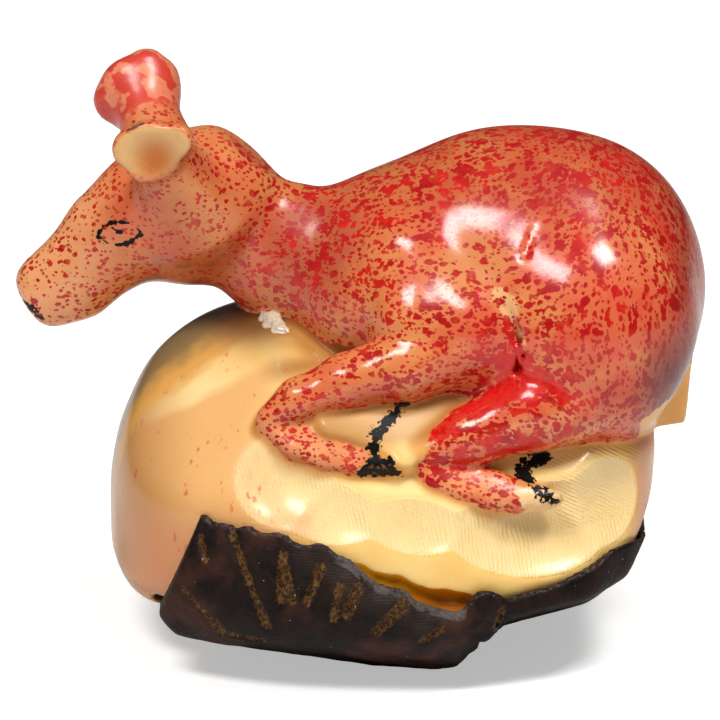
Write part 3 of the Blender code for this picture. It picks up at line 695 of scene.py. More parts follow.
def mark_density(clay, shank):
    """How many places take a dab: more on the back, the rump and the shank, few on the saddle."""
    x, y, z = clay.parts(clay.point)
    clay.mark("head", clay.within((x, -8.0, -13.0), (z, 27.0, 30.0)))
    back = clay.within((z, 37.0, 42.5), (x, -9.0, -4.0))
    dense = DABS_EVERYWHERE
    for share, more in ((clay.ease(x, -2.0, 16.0), 0.06), (shank, 0.16), (clay.marks["satin"], 0.12),
                        (clay.marks["head"], -0.06), (back, 0.14), (clay.marks["saddle"], -0.26)):
        dense = clay.math("MULTIPLY_ADD", share, more, dense)
    clay.mark("dense", dense)


def mark_unpainted(clay):
    """1 on the belly, under the tail and on the soles, where no brush went."""
    x, y, z = clay.parts(clay.point)
    side_y = clay.math("ABSOLUTE", y)
    belly_slope = clay.math("MULTIPLY_ADD", x, 0.12, z)
    tail_slope = clay.math("MULTIPLY_ADD", x, -0.56, z)
    bare = clay.within((x, 6.5, 0.5), (x, -17.0, -14.0), (belly_slope, 29.4, 27.8), (side_y, 10.2, 8.8))
    for zone in (((x, 23.6, 24.8), (tail_slope, 10.0, 8.8)),
                 ((x, 12.4, 15.0), (x, 19.0, 18.0), (z, 20.4, 19.4), (side_y, 12.0, 12.8)),
                 ((x, 0.0, 1.0), (x, 5.0, 4.0), (z, 21.8, 20.8), (side_y, 14.2, 14.8))):
        bare = clay.math("MAXIMUM", bare, clay.within(*zone))
    clay.mark("unpainted", bare)


print("dabs on", DABS_EVERYWHERE, "of the places, more on the back")

# %% [markdown]
# ## One solid of nut flesh
# Deer and nut are joined with a narrow fillet, since the carver cleaned that corner with a small
# chisel; a little sawing dust dried fast in it, under the neck.  How far a point is from the line
# where the deer meets the nut, and how deep the ears are hollowed, are marked here too.

# %% From node tree to mesh
def freeze(name, clay):
    """Turns the node tree's result into a plain mesh, with its marks."""
    holder = bpy.data.objects.new(name + "_clay", bpy.data.meshes.new(name + "_clay"))
    bpy.context.scene.collection.objects.link(holder)
    holder.modifiers.new("Clay", "NODES").node_group = clay.tree
    done = holder.evaluated_get(bpy.context.evaluated_depsgraph_get())
    mesh = bpy.data.meshes.new_from_object(done)
    bpy.data.objects.remove(holder, do_unlink=True)
    piece = bpy.data.objects.new(name, mesh)
    bpy.context.scene.collection.objects.link(piece)
    print(name, "faces:", len(mesh.polygons), "marks:", sorted(clay.marks))
    return piece


NUT_GRID = ((-32.0, -21.0, -1.0), (32.0, 21.0, 53.0))    # its corners, mm
print("grid of the deer and nut:", [round((b - a) / FINE_CELL) + 1 for a, b in zip(*NUT_GRID)], "points")

# %% Deer and nut together
CRUMBS = (                       # dried sawing dust left in the corner
    ((-8.2, -3.6, 29.9), 0.55), ((-7.5, -4.4, 30.0), 0.75), ((-7.0, -5.0, 29.7), 0.6),
    ((-7.9, -4.6, 29.5), 0.5), ((-6.5, -5.7, 29.5), 0.45), ((-7.2, -5.5, 29.3), 0.4),
)


def carve_deer_and_nut():
    clay = Clay("deer_and_nut_clay")
    base = carved_base(clay)
    deer = clay.join([deer_torso(clay), deer_neck_and_head(clay)], 2.5)
    deer = clay.join([deer, deer_tail(clay)], 0.6)
    hollows = None
    for side in (-1, 1):
        legs = deer_legs(clay, side)
        deer = clay.join([deer, legs], 1.0)
        ear, hollow = deer_ear(clay, side)
        deer = clay.join([deer, ear], 2.6)
        hollows = hollow if hollows is None else clay.math("MAXIMUM", hollows, hollow)
    clay.mark("deer", clay.math("SUBTRACT", base, deer))
    clay.mark("hollow", hollows)
    body = clay.join([base, deer], 0.7)
    for place, radius in CRUMBS:
        body = clay.join([body, clay.egg(place, (radius, radius * 0.8, radius * 0.8))], 0.25)
    crumbs = clay.join([clay.egg(place, (radius, radius, radius)) for place, radius in CRUMBS], 0.2)
    clay.mark("crumbs", clay.math("MULTIPLY", crumbs, -1.0))
    mark_density(clay, mark_strokes(clay))
    mark_lids(clay)
    mark_unpainted(clay)
    clay.skin(body, *NUT_GRID, FINE_CELL)
    return freeze("deer_and_nut_carving", clay)


carving = carve_deer_and_nut()
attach(carving, "root")
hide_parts("deer_and_nut")

# %% [markdown]
# ## The husk
# The husk is a shell round the bottom of the nut.  It was chipped back with a chisel, so its rim goes
# up and down, it is broken off where the thick left plate ends, and the chisel left short gouges in
# it.  Its thickness is a number that changes from place to place, so rim, plates, chips and gouges
# are all written as changes to that number.

# %% Measures of the husk
HUSK_THICK = 2.1
HUSK_RIM_THICKNESS = 0.8
HUSK_FLARE = 0.25
HUSK_STEP_X = 8.6
HUSK_STEP_LENGTH = 1.2
HUSK_BEVEL = 0.75
BARK_RELIEF = 0.35
HUSK_ENDS = (                    # a point on the cut, the way it faces, softness of its edge
    ((-16.8, 0.0, 7.8), (-1.0, 0.0, 0.40), 0.3), ((-16.9, 0.0, 5.4), (-0.84, 0.0, -0.54), 0.8),
    ((0.0, 0.0, 0.0), (0.0, 0.0, -1.0), 0.1),
)
HUSK_RIM = (                     # share of a turn from the left end, height in mm
    (0.000, 14.6), (0.100, 16.0), (0.126, 16.0), (0.136, 15.4), (0.141, 15.5), (0.149, 15.1), (0.155, 15.5),
    (0.163, 14.9), (0.174, 15.0), (0.186, 14.2), (0.193, 14.0), (0.202, 14.2), (0.213, 13.3), (0.223, 12.8),
    (0.230, 12.0), (0.252, 10.3), (0.262, 10.1), (0.270, 9.1), (0.290, 8.2), (0.301, 7.9), (0.309, 8.9),
    (0.316, 9.8), (0.327, 9.5), (0.333, 9.0), (0.340, 9.2), (0.356, 9.6), (0.385, 10.9), (0.415, 12.1),
    (0.445, 11.4), (0.500, 11.4), (0.570, 10.2), (0.600, 10.4), (0.650, 8.6), (0.690, 8.9), (0.740, 7.6),
    (0.780, 8.6), (0.820, 9.2), (0.850, 10.9), (0.880, 11.6), (0.930, 13.6), (1.000, 14.6),
)
RIM_TOP = 20.0
HUSK_GOUGES = (                  # start, end, radius at the start and end, as seen from the side that shows
    ((-10.8, 14.7), (-9.0, 9.8), 0.30, 0.22), ((-9.0, 9.8), (-7.9, 6.9), 0.22, 0.40),
    ((-13.6, 14.2), (-13.2, 12.3), 0.25, 0.25), ((-15.2, 9.6), (-12.5, 6.8), 0.16, 0.20),
    ((-12.5, 6.8), (-11.9, 5.7), 0.35, 0.45), ((-11.2, 5.6), (-8.2, 5.1), 0.20, 0.18),
    ((-6.5, 13.4), (-6.7, 9.5), 0.35, 0.40), ((-6.2, 12.0), (-5.7, 9.4), 0.30, 0.35),
    ((-3.3, 12.3), (-4.5, 9.2), 0.42, 0.30), ((-1.6, 10.9), (-2.2, 7.8), 0.35, 0.35),
    ((-0.2, 10.6), (-1.0, 8.2), 0.50, 0.40), ((3.7, 9.0), (1.5, 6.6), 0.55, 0.45),
    ((7.0, 6.8), (5.4, 5.5), 0.35, 0.30), ((12.3, 8.2), (11.8, 6.2), 0.30, 0.30),
)
GOUGE_DEPTH = 0.35
HUSK_GRID = ((-32.0, -24.0, -1.0), (32.0, 24.0, 20.0))   # its corners, mm

print("husk:", HUSK_THIN, "to", HUSK_THICK, "mm thick,", len(HUSK_GOUGES), "gouges")

# %% [markdown]
# ### From measures to a shell
# Nut and husk share one form, so the shell is what lies between that form grown by the gap and the
# same form grown by gap and thickness, as far up as the rim.

# %% Husk shell
def rim_height(clay):
    """Height of the rim, all the way round."""
    across = clay.parts(clay.vector("SUBTRACT", clay.point, NUT_MIDDLE))
    turn = clay.math("ARCTAN2", across[1], across[0])
    share = clay.math("FRACT", clay.math("ADD", clay.math("DIVIDE", turn, 2 * math.pi), 0.5))
    return clay.curve(share, HUSK_RIM, RIM_TOP)


def plate_thickness(clay, x, above):
    """Thick on the left, thin past the step, thinner still at the right end and towards the rim."""
    step = clay.math("DIVIDE", clay.math("SUBTRACT", x, HUSK_STEP_X), HUSK_STEP_LENGTH)
    step = clay.math("MINIMUM", clay.math("MAXIMUM", step, 0.0), 1.0)
    full = clay.math("MULTIPLY_ADD", step, HUSK_THIN - HUSK_THICK, HUSK_THICK)
    full = clay.math("SUBTRACT", full, clay.ease(x, 19.5, 23.0, 0.0, 0.9))
    bevel = clay.within((x, -3.0, -0.5), (x, 10.0, 8.5))
    flare = clay.math("MULTIPLY_ADD", bevel, -HUSK_BEVEL, -HUSK_FLARE)
    flared = clay.math("MULTIPLY_ADD", above, flare, HUSK_RIM_THICKNESS)
    return clay.math("ADD", clay.math("SMOOTH_MIN", full, flared, 0.6), HUSK_GAP)


def gouge_distance(clay, x, z):
    """Distance to the nearest chisel gouge, looking straight at the side."""
    kept, clay.point = clay.point, clay.whole(x, 0.0, z)
    gouge = clay.nearest([clay.limb((x1, 0.0, z1), (x2, 0.0, z2), start, end)
                          for (x1, z1), (x2, z2), start, end in HUSK_GOUGES])
    clay.point = kept
    return gouge


def weather(clay, x, gouge, thickness):
    """Crumbles the broken step, roughens the bark and takes the gouges out."""
    crumble = clay.math("SUBTRACT", clay.noise(clay.point, 1.4, 2.0), 0.45)
    broken = clay.math("MULTIPLY", clay.within((x, 9.2, 10.2), (x, 13.0, 12.0)), crumble)
    thickness = clay.math("MULTIPLY_ADD", broken, 1.6, thickness)
    thickness = clay.math("MULTIPLY_ADD", clay.swell(clay.point, 2.6, 3.0), BARK_RELIEF, thickness)
    return clay.math("SUBTRACT", thickness, clay.ease(gouge, 0.12, -0.30, 0.0, GOUGE_DEPTH))


def shape_husk():
    clay = Clay("nut_husk_clay")
    nut = nut_body(clay)
    x, y, z = clay.parts(clay.point)
    above = clay.math("SUBTRACT", z, rim_height(clay))
    gouge = gouge_distance(clay, x, z)
    thickness = weather(clay, x, gouge, plate_thickness(clay, x, above))
    shell = clay.cut(clay.math("SUBTRACT", nut, thickness), clay.math("SUBTRACT", nut, HUSK_GAP), 0.1)
    shell = clay.keep(shell, above, 0.2)
    for place, facing, soft in HUSK_ENDS:
        shell = clay.keep(shell, clay.side_of(place, facing), soft)
    clay.mark("husk_gouge", clay.math("MULTIPLY", gouge, -1.0))
    clay.mark("below_rim", clay.math("MULTIPLY", above, -1.0))
    clay.skin(shell, *HUSK_GRID, HUSK_CELL)
    return freeze("nut_husk_shell", clay)


shell = shape_husk()
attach(shell, "root")
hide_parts("nut_husk")

# %% [markdown]
# ## Finishes
# Colours are given as they look on a screen and turned into the light values that shaders want.
# All patterns are worked out in the carver's own millimetres, so a dab of half a millimetre is
# written as 0.5.  A finish is laid down as a painter does it: a ground, then one colour after another
# through its own mask.

# %% Colour and coordinates
def shade(red, green, blue):
    """A colour as a screen shows it, each part from 0 to 255, in light values."""
    lights = []
    for level in (red, green, blue):
        lights.append(level / 255 / 12.92 if level <= 10 else ((level / 255 + 0.055) / 1.055) ** 2.4)
    return (*lights, 1.0)


class Finish(Nodes):
    """Shader nodes with the carver's coordinates and the marks at hand."""

    def group(self, tree, **inputs):
        node = self.add("ShaderNodeGroup", node_tree=tree)
        for name, value in inputs.items():
            self.feed(node.inputs[name], value)
        return node.outputs

    def carver_mm(self):
        place = self.vector("SCALE", self.add("ShaderNodeTexCoord").outputs["Object"], scale=1 / MM)
        return self.vector("ADD", place, CENTRING)

    def mark(self, name):
        return self.add("ShaderNodeAttribute", attribute_name=name).outputs["Fac"]

    def mix(self, share, low, high, blend_type="MIX"):
        node = self.add("ShaderNodeMix", data_type="RGBA", blend_type=blend_type)
        for socket, value in (("Factor", share), (6, low), (7, high)):
            self.feed(node.inputs[socket], value)
        return node.outputs[2]

    def tint(self, share, low, high):
        """Darkens or colours low by multiplying it with high."""
        return self.mix(share, low, high, "MULTIPLY")

    def bump(self, height, distance):
        node = self.add("ShaderNodeBump")
        self.feed(node.inputs["Height"], height)
        node.inputs["Distance"].default_value = distance * MM
        return node.outputs[0]

    def both(self, *masks):
        result = masks[0]
        for mask in masks[1:]:
            result = self.math("MULTIPLY", result, mask)
        return result

    def either(self, *masks):
        result = masks[0]
        for mask in masks[1:]:
            result = self.math("MAXIMUM", result, mask)
        return result

    def bare(self, mask):
        return self.math("SUBTRACT", 1.0, mask)

    def fray(self, value, noise, reach):
        """Moves a value up and down by noise, so that an edge drawn from it is ragged."""
        return self.math("MULTIPLY_ADD", noise, reach, value)

    def near(self, point, centre, start, end):
        """1 within start mm of centre, 0 beyond end mm."""
        return self.ease(self.vector("DISTANCE", point, centre), end, start)

    def stroke(self, point, a, b, radius):
        """Distance in mm to a brush stroke from a to b, below zero inside it."""
        along = Vector(b) - Vector(a)
        local = self.vector("SUBTRACT", point, a)
        ahead = self.vector("DOT_PRODUCT", local, tuple(along))
        share = self.math("DIVIDE", ahead, along.length_squared, clamp=True)
        aside = self.vector("SUBTRACT", local, self.vector("SCALE", tuple(along), scale=share))
        return self.math("SUBTRACT", self.vector("LENGTH", aside), radius)


print("the black enamel's light values:", [round(value, 4) for value in shade(8, 8, 10)])

# %% [markdown]
# ### Effects that serve more than one finish
# Lines left by a tool and specks of dust are on flesh and husk alike, so each is a group with named
# inputs and outputs, built once and placed in each finish with its own values.

# %% An empty group
def new_group(name, inputs, output):
    """A shader group; inputs are (name, value) with a tuple for a vector, and it puts out one value."""
    tree = bpy.data.node_groups.new(name, "ShaderNodeTree")
    for label, value in inputs:
        kind = "NodeSocketVector" if isinstance(value, tuple) else "NodeSocketFloat"
        tree.interface.new_socket(label, in_out="INPUT", socket_type=kind).default_value = value
    tree.interface.new_socket(output, in_out="OUTPUT", socket_type="NodeSocketFloat")
    lay = Finish(tree)
    return lay, lay.add("NodeGroupInput").outputs, lay.add("NodeGroupOutput").inputs


# %% [markdown]
# ### Tool lines
# A file or a gouge that is pulled along leaves fine parallel lines.  The husk's fibres are the same
# kind of pattern, only coarser and more ragged.  The group gives a height from 0 to 1 that rises and
# falls across a direction, with the lines wandering a little and fading in patches.

# %% Group: tool lines
def make_tool_lines():
    lay, given, out = new_group(
        "tool_lines",
        (("Point", (0.0, 0.0, 0.0)), ("Across", (1.0, 0.0, 0.0)), ("Pitch", 0.4), ("Wander", 0.5),
         ("Breaks", 3.0)), "Height")
    across = lay.vector("DOT_PRODUCT", given["Point"], given["Across"])
    drift = lay.swell(given["Point"], 2.4, 1.0)
    turns = lay.math("DIVIDE", across, given["Pitch"])
    turns = lay.math("ADD", turns, lay.math("MULTIPLY", drift, lay.math("MULTIPLY", given["Wander"], 10.0)))
    wave = lay.math("SINE", lay.math("MULTIPLY", turns, 2 * math.pi))
    wave = lay.math("MULTIPLY_ADD", wave, 0.5, 0.5)
    scaled = lay.vector("SCALE", given["Point"], scale=lay.math("DIVIDE", 1.0, given["Breaks"]))
    patch = lay.ease(lay.noise(scaled, 1.0, 2.0), 0.38, 0.62)
    lay.feed(out["Height"], lay.math("MULTIPLY", wave, lay.math("MULTIPLY_ADD", patch, 0.7, 0.3)))
    return lay.tree


tool_lines = make_tool_lines()
print("tool lines:", len(tool_lines.nodes), "nodes")

# %% [markdown]
# ### Dabs of colour
# The red was dabbed on with a coarse bristle or sponge, and each dab is a small ragged blot.  A
# Voronoi pattern gives one point to each cell; a blot is what lies within a random radius of it,
# bent by noise so that no two are alike.  `Amount` says how many cells carry a blot.  The same brush
# serves for three sizes of dab and for the smears on the dome, so this is a group as well.

# %% Group: brush dabs
def make_brush_dabs():
    lay, given, out = new_group(
        "brush_dabs", (("Point", (0.0, 0.0, 0.0)), ("Size", 0.9), ("Amount", 0.5), ("Ragged", 0.25)), "Mask")
    bend = lay.add("ShaderNodeTexNoise")
    lay.feed(bend.inputs["Vector"], given["Point"])
    lay.feed(bend.inputs["Scale"], 1.5)
    lay.feed(bend.inputs["Detail"], 2.0)
    bent = lay.vector("SUBTRACT", bend.outputs["Color"], (0.5, 0.5, 0.5))
    bent = lay.vector("SCALE", bent, scale=lay.math("MULTIPLY", given["Ragged"], 4.0))
    bent = lay.vector("ADD", given["Point"], bent)
    bent = lay.vector("SCALE", bent, scale=lay.math("DIVIDE", 1.0, given["Size"]))
    cells = lay.add("ShaderNodeTexVoronoi", feature="F1")
    lay.feed(cells.inputs["Vector"], bent)
    lay.feed(cells.inputs["Scale"], 1.0)
    lay.feed(cells.inputs["Randomness"], 0.75)
    chance = lay.parts(cells.outputs["Color"])
    sure, never = lay.math("SUBTRACT", given["Amount"], 0.04), lay.math("ADD", given["Amount"], 0.04)
    carries = lay.ease(chance[0], never, sure)
    radius = lay.math("MULTIPLY_ADD", chance[1], 0.20, 0.21)
    inside = lay.math("SUBTRACT", radius, cells.outputs["Distance"])
    lay.feed(out["Mask"], lay.both(lay.ease(inside, -0.03, 0.05), carries))
    return lay.tree


brush_dabs = make_brush_dabs()
print("brush dabs:", len(brush_dabs.nodes), "nodes")

# %% [markdown]
# ### Dust and specks
# Bright motes under the lacquer and pin-pricks of dirt sit on both finishes.  They are the middles of
# Voronoi cells, each with its own width.

# %% Group: specks
def make_specks():
    lay, given, out = new_group(
        "specks", (("Point", (0.0, 0.0, 0.0)), ("Spacing", 1.5), ("Width", 0.07)), "Mask")
    cells = lay.add("ShaderNodeTexVoronoi", feature="F1")
    spread = lay.vector("SCALE", given["Point"], scale=lay.math("DIVIDE", 1.0, given["Spacing"]))
    lay.feed(cells.inputs["Vector"], spread)
    lay.feed(cells.inputs["Scale"], 1.0)
    away = lay.math("MULTIPLY", cells.outputs["Distance"], given["Spacing"])
    chance = lay.parts(cells.outputs["Color"])[0]
    width = lay.math("MULTIPLY", given["Width"], lay.math("ADD", chance, 0.3))
    lay.feed(out["Mask"], lay.ease(away, width, lay.math("MULTIPLY", width, 0.5)))
    return lay.tree


specks = make_specks()
print("specks:", len(specks.nodes), "nodes")

# %% [markdown]
# ## The dome's own skin
# Under the deer's throat the nut keeps its skin.  Along the ridge at the end it is brown, then amber,
# partly the skin's own tone and partly painted shade; then comes a cream facet where it was planed,
# and it is rosy below a slanting line.  The left end and the top under the neck are darkened with
# painted shade.  Real skin has no texture that could be laid on, only these zones, so they are drawn
# by height and by distance from the ridge.

# %% Dome
ROSY_LOW, ROSY_HIGH = shade(216, 150, 92), shade(226, 172, 108)
FACET_LOW, FACET_HIGH = shade(240, 208, 146), shade(228, 182, 108)
LEFT_END_SHADE = shade(176, 122, 68)
RIDGE_AMBER_TONE_AND_SHADE, RIDGE_BROWN_TONE_AND_SHADE = shade(206, 148, 70), shade(126, 106, 68)
CROWN_SHADE = shade(136, 108, 70)
SLANT = -0.573                   # of the line between cream and rosy skin


def dome_skin(lay, p):
    """The colour of the skin with its painted shade, and 1 where the dome is."""
    x, y, z = lay.parts(p)
    soft = lay.noise(p, 6.0, 2.0)
    rosy = lay.mix(lay.ease(z, 19.0, 12.0), ROSY_HIGH, ROSY_LOW)
    # cream facet, turning amber towards the top as painted shade under the neck
    cream = lay.mix(lay.ease(z, 28.0, 24.0), FACET_HIGH, FACET_LOW)
    over_line = lay.math("MULTIPLY_ADD", x, SLANT, lay.fray(z, soft, 1.6))
    dome = lay.mix(lay.ease(over_line, 31.9, 32.7), rosy, cream)
    # painted shade darkens the left end of the dome
    dome = lay.mix(lay.both(lay.ease(x, -13.0, -20.0), 0.8), dome, LEFT_END_SHADE)
    # brown and amber along the crest: partly the skin's own tone, partly painted shade
    ridge = lay.fray(lay.math("ABSOLUTE", y), lay.swell(p, 3.0), 3.0)
    strong = lay.math("MULTIPLY_ADD", lay.ease(z, 14.0, 21.0), 0.55, 0.35)
    dome = lay.mix(lay.both(lay.ease(ridge, 6.0, 4.2), strong), dome, RIDGE_AMBER_TONE_AND_SHADE)
    dome = lay.mix(lay.both(lay.ease(ridge, 4.0, 1.8), strong), dome, RIDGE_BROWN_TONE_AND_SHADE)
    # painted shade on the top of the dome, under the neck
    dome = lay.mix(lay.both(lay.ease(z, 26.4, 29.2), 0.8), dome, CROWN_SHADE)
    return dome, lay.ease(lay.fray(x, soft, 4.0), -2.5, -8.0)


print("slant of the skin's line:", round(math.degrees(math.atan(-SLANT)), 1), "degrees")

# %% [markdown]
# ## Bare flesh
# The flesh is cream where it was freshly pared, honey-coloured where it was cut earlier, tan between
# the legs, where it is darkened with painted shade, and tan on the tail.  In the slit it is deep amber,
# a painted shade and glow where light has a long way to go through it.  The seam with the deer and the
# dome under the throat are darkened with painted shade.  Which is which comes from the marks on the skin.

# %% Flesh before any paint
BAND_DARK, BAND_LIGHT = shade(244, 196, 108), shade(248, 208, 126)
BAND_END = shade(204, 132, 76)
FRESH_LIGHT, FRESH_DARK = shade(242, 212, 146), shade(236, 196, 116)
DEER_FLESH = shade(200, 132, 70)
GOUGED = shade(244, 214, 158)
WEB_TAN_AND_SHADE_LIGHT, WEB_TAN_AND_SHADE_DARK = shade(206, 162, 102), shade(186, 136, 78)
TAIL_LIGHT, TAIL_DARK = shade(232, 178, 98), shade(214, 148, 72)
SEAM_SHADE, THROAT_SHADOW = shade(214, 150, 74), shade(160, 122, 90)
AMBER_LIGHT, AMBER_DEEP = shade(232, 156, 20), shade(206, 112, 6)


def on_deer(lay):
    return lay.ease(lay.mark("deer"), -0.1, 0.5)


def bare_flesh(lay, p, loose):
    """Colour of the nut before any paint, with its painted shade; loose is a fine noise about 0."""
    x, y, z = lay.parts(p)
    soft = lay.noise(p, 6.0, 2.0)
    band = lay.mix(lay.ease(soft, 0.35, 0.65), BAND_DARK, BAND_LIGHT)
    band = lay.mix(lay.ease(x, 22.5, 25.0), band, BAND_END)
    fresh = lay.mix(soft, FRESH_LIGHT, FRESH_DARK)
    flesh = lay.mix(lay.ease(lay.fray(lay.mark("pared"), loose, 0.2), 0.0, 0.3), band, fresh)
    dome, front = dome_skin(lay, p)
    flesh = lay.mix(front, flesh, dome)
    flesh = lay.mix(on_deer(lay), flesh, DEER_FLESH)
    in_stroke = lay.ease(lay.mark("gouged"), 0.02, 0.12)
    flesh = lay.mix(lay.both(in_stroke, 0.55), flesh, GOUGED)
    # tan flesh between the legs, darkened further as painted shade
    flesh = lay.mix(lay.both(lay.mark("web"), 0.9), flesh, lay.mix(soft, WEB_TAN_AND_SHADE_LIGHT, WEB_TAN_AND_SHADE_DARK))
    tail = lay.both(lay.within((x, 23.4, 24.6), (z, 29.0, 27.0)), on_deer(lay))
    flesh = lay.mix(tail, flesh, lay.mix(soft, TAIL_LIGHT, TAIL_DARK))
    deer = lay.mark("deer")
    # painted shade in the corner where deer and nut meet
    seam = lay.within((deer, -0.9, -0.1), (deer, 0.5, 0.0))
    flesh = lay.tint(lay.both(seam, 0.65), flesh, SEAM_SHADE)
    # painted shadow on the dome under the throat and chest
    throat = lay.within((lay.mark("deer"), -4.4, -1.2), (x, 3.0, 0.0), (z, 25.5, 27.5))
    flesh = lay.tint(lay.both(throat, 0.85), flesh, THROAT_SHADOW)
    # painted shade and glow: the flesh in the slit under the overhang is deep amber
    amber = lay.ease(lay.fray(lay.mark("slit"), loose, 0.2), -0.22, -0.12)
    return lay.mix(amber, flesh, lay.mix(lay.ease(x, 1.0, 8.0), AMBER_LIGHT, AMBER_DEEP))


print("flesh: light values of the pared cream", [round(value, 2) for value in FRESH_LIGHT[:3]])

# %% [markdown]
# ## Marks of tools and fingers
# The gouge left fine lines in its strokes, and a file left arcs low on the flank.  The painter's red
# fingers touched the dome.  Lines and scuffs are patterns, so they come from the groups.

# %% Tool marks and scuffs
LINE_TAN = shade(222, 176, 98)
SCUFF_RED, SMUDGE_ROSE = shade(196, 60, 46), shade(220, 116, 80)


def tool_marks(lay, p, colour):
    """File and gouge lines on the flesh: the colour with them, and their height."""
    x, y, z = lay.parts(p)
    lines = lay.group(tool_lines, Point=p, Across=(1.0, 0.12, 0.15), Pitch=0.36, Wander=0.22, Breaks=2.2)
    lines = lay.both(lines["Height"], lay.ease(lay.mark("gouged"), 0.02, 0.12))
    arcs = lay.group(tool_lines, Point=p, Across=(0.42, 0.25, 0.87), Pitch=0.31, Wander=0.14, Breaks=6.0)
    flank = lay.within((x, 14.0, 18.0), (z, 13.0, 14.5), (lay.mark("deer"), 0.0, -0.8))
    height = lay.either(lines, lay.both(arcs["Height"], flank))
    return lay.mix(lay.both(height, 0.14), colour, LINE_TAN), height


def finger_scuffs(lay, p, colour):
    """Red that came off the painter's fingers on to the dome."""
    drawn_out = lay.vector("MULTIPLY", p, (1.6, 1.0, 0.55))
    scuffs = lay.group(brush_dabs, Point=drawn_out, Size=0.8, Amount=0.24, Ragged=0.3)["Mask"]
    reach = lay.within((lay.parts(p)[0], -4.0, -10.0), (lay.noise(p, 3.2, 2.0), 0.50, 0.58))
    reach = lay.both(reach, lay.bare(lay.ease(lay.mark("deer"), -0.4, 0.0)))
    colour = lay.mix(lay.both(scuffs, reach, 0.6), colour, SCUFF_RED)
    low, under_leg = lay.near(p, (-16.0, -11.0, 10.5), 2.0, 7.0), lay.near(p, (-6.0, -17.0, 15.0), 1.0, 3.5)
    smudge = lay.both(lay.either(low, under_leg), lay.noise(p, 2.0, 3.0))
    return lay.mix(lay.both(smudge, 0.5), colour, SMUDGE_ROSE)


print("scuffs: light values of the red", [round(value, 2) for value in SCUFF_RED[:3]])

# %% [markdown]
# ## Salmon wash
# The deer first had a thin salmon wash, warmer and redder towards the rump, dull on the satin
# shoulder, and wiped off again in the crease.  It stops raggedly at the seam with the nut and leaves
# the throat and the belly bare.  The top of the back and the faces that turn down are darkened with
# painted shade.

# %% Wash
TAN_SALMON, SALMON = shade(212, 134, 76), shade(208, 108, 64)
REAR_SALMON, SADDLE_TAN, FEET_ROSE = shade(206, 86, 58), shade(206, 140, 78), shade(222, 152, 98)
HAZE_RED, SATIN_RED = shade(200, 44, 32), shade(150, 46, 38)
BACK_TOP_SHADE, UNDERSIDE_SHADE = shade(216, 186, 178), shade(206, 176, 150)
MUZZLE_ROSE, WIPED_CREAM = shade(236, 166, 112), shade(226, 180, 124)


def coat_mask(lay, p, loose, up):
    """1 where the deer was painted; up is the upward part of the skin's facing."""
    coat = lay.ease(lay.fray(lay.mark("deer"), loose, 0.9), 0.05, 0.30)
    coat = lay.both(coat, lay.ease(lay.fray(lay.mark("unpainted"), loose, 1.6), 0.6, 0.45))
    x = lay.parts(p)[0]
    throat = lay.within((lay.fray(up, loose, 0.5), -0.70, -0.95), (x, 8.0, 3.0), (x, -24.0, -22.0),
                        (lay.mark("hollow"), 0.1, 0.0))
    return lay.both(coat, lay.bare(throat))


def wash(lay, p, ground, coat, loose, up):
    """The ground with the salmon wash over it, and painted shade on the top of the back and on faces that
    turn down.
    """
    x, y, z = lay.parts(p)
    soft = lay.noise(p, 6.0, 2.0)
    rear = lay.ease(x, -2.0, 16.0)
    salmon = lay.mix(lay.ease(soft, 0.35, 0.65), TAN_SALMON, SALMON)
    salmon = lay.mix(lay.both(rear, lay.ease(soft, 0.25, 0.55), 0.8), salmon, REAR_SALMON)
    salmon = lay.mix(lay.both(lay.mark("saddle"), 0.6), salmon, SADDLE_TAN)
    feet = lay.within((lay.math("ABSOLUTE", y), 12.0, 13.4), (z, 25.5, 23.5))
    salmon = lay.mix(lay.both(feet, 0.6), salmon, FEET_ROSE)
    haze = lay.ease(lay.noise(lay.vector("ADD", p, (9.0, 2.0, 5.0)), 3.6, 3.0), 0.44, 0.64)
    haze = lay.both(haze, lay.math("MULTIPLY_ADD", rear, 0.42, 0.20), lay.bare(lay.mark("saddle")))
    salmon = lay.mix(haze, salmon, HAZE_RED)
    salmon = lay.mix(lay.both(lay.mark("satin"), 0.6), salmon, SATIN_RED)
    # painted shade along the top of the back
    back = lay.within((z, 37.0, 43.0), (x, -8.0, -3.0))
    salmon = lay.tint(lay.both(back, 0.8), salmon, BACK_TOP_SHADE)
    salmon = lay.mix(lay.both(lay.ease(x, -20.0, -25.0), 0.7), salmon, MUZZLE_ROSE)
    wiped = lay.ease(lay.fray(lay.mark("wiped"), loose, 4.5), 0.4, -0.2)
    salmon = lay.mix(lay.both(wiped, 0.85), salmon, WIPED_CREAM)
    painted = lay.mix(lay.both(coat, 0.92), ground, salmon)
    # painted shade on the faces that turn down
    under = lay.within((up, 0.1, -0.9), (x, 8.0, 2.0), (lay.mark("deer"), -0.1, 0.3), (x, -22.0, -16.0))
    return lay.tint(lay.both(under, 0.8), painted, UNDERSIDE_SHADE)


print("wash: light values of the salmon", [round(value, 2) for value in SALMON[:3]])

# %% [markdown]
# ## Red dabs
# Over the wash come the dabs.  One pattern of one size looks printed, so three sizes lie over one
# another, with a sponged pattern to join them, and towards the rump the brush dragged them downwards.
# How dense they are was written on the skin.

# %% Dabs
DAB_LAYERS = (                   # shift of the pattern, size of a dab in mm, change of density
    ((0.0, 0.0, 0.0), 1.0, -0.16), ((31.0, 7.0, 3.0), 0.70, 0.0), ((5.0, 43.0, 9.0), 0.48, 0.06),
)
FEWER_ON_HEAD = -0.4             # large dabs only
DEEP_RED, BRIGHT_RED = shade(166, 2, 8), shade(192, 20, 16)
DRAG_START = (20.0, 0.0, 31.0)
ROUND_DABS, LONG_DABS = (0.85, 1.0, 1.1, 1.0), (1.15, 1.0, 0.65, 1.0)


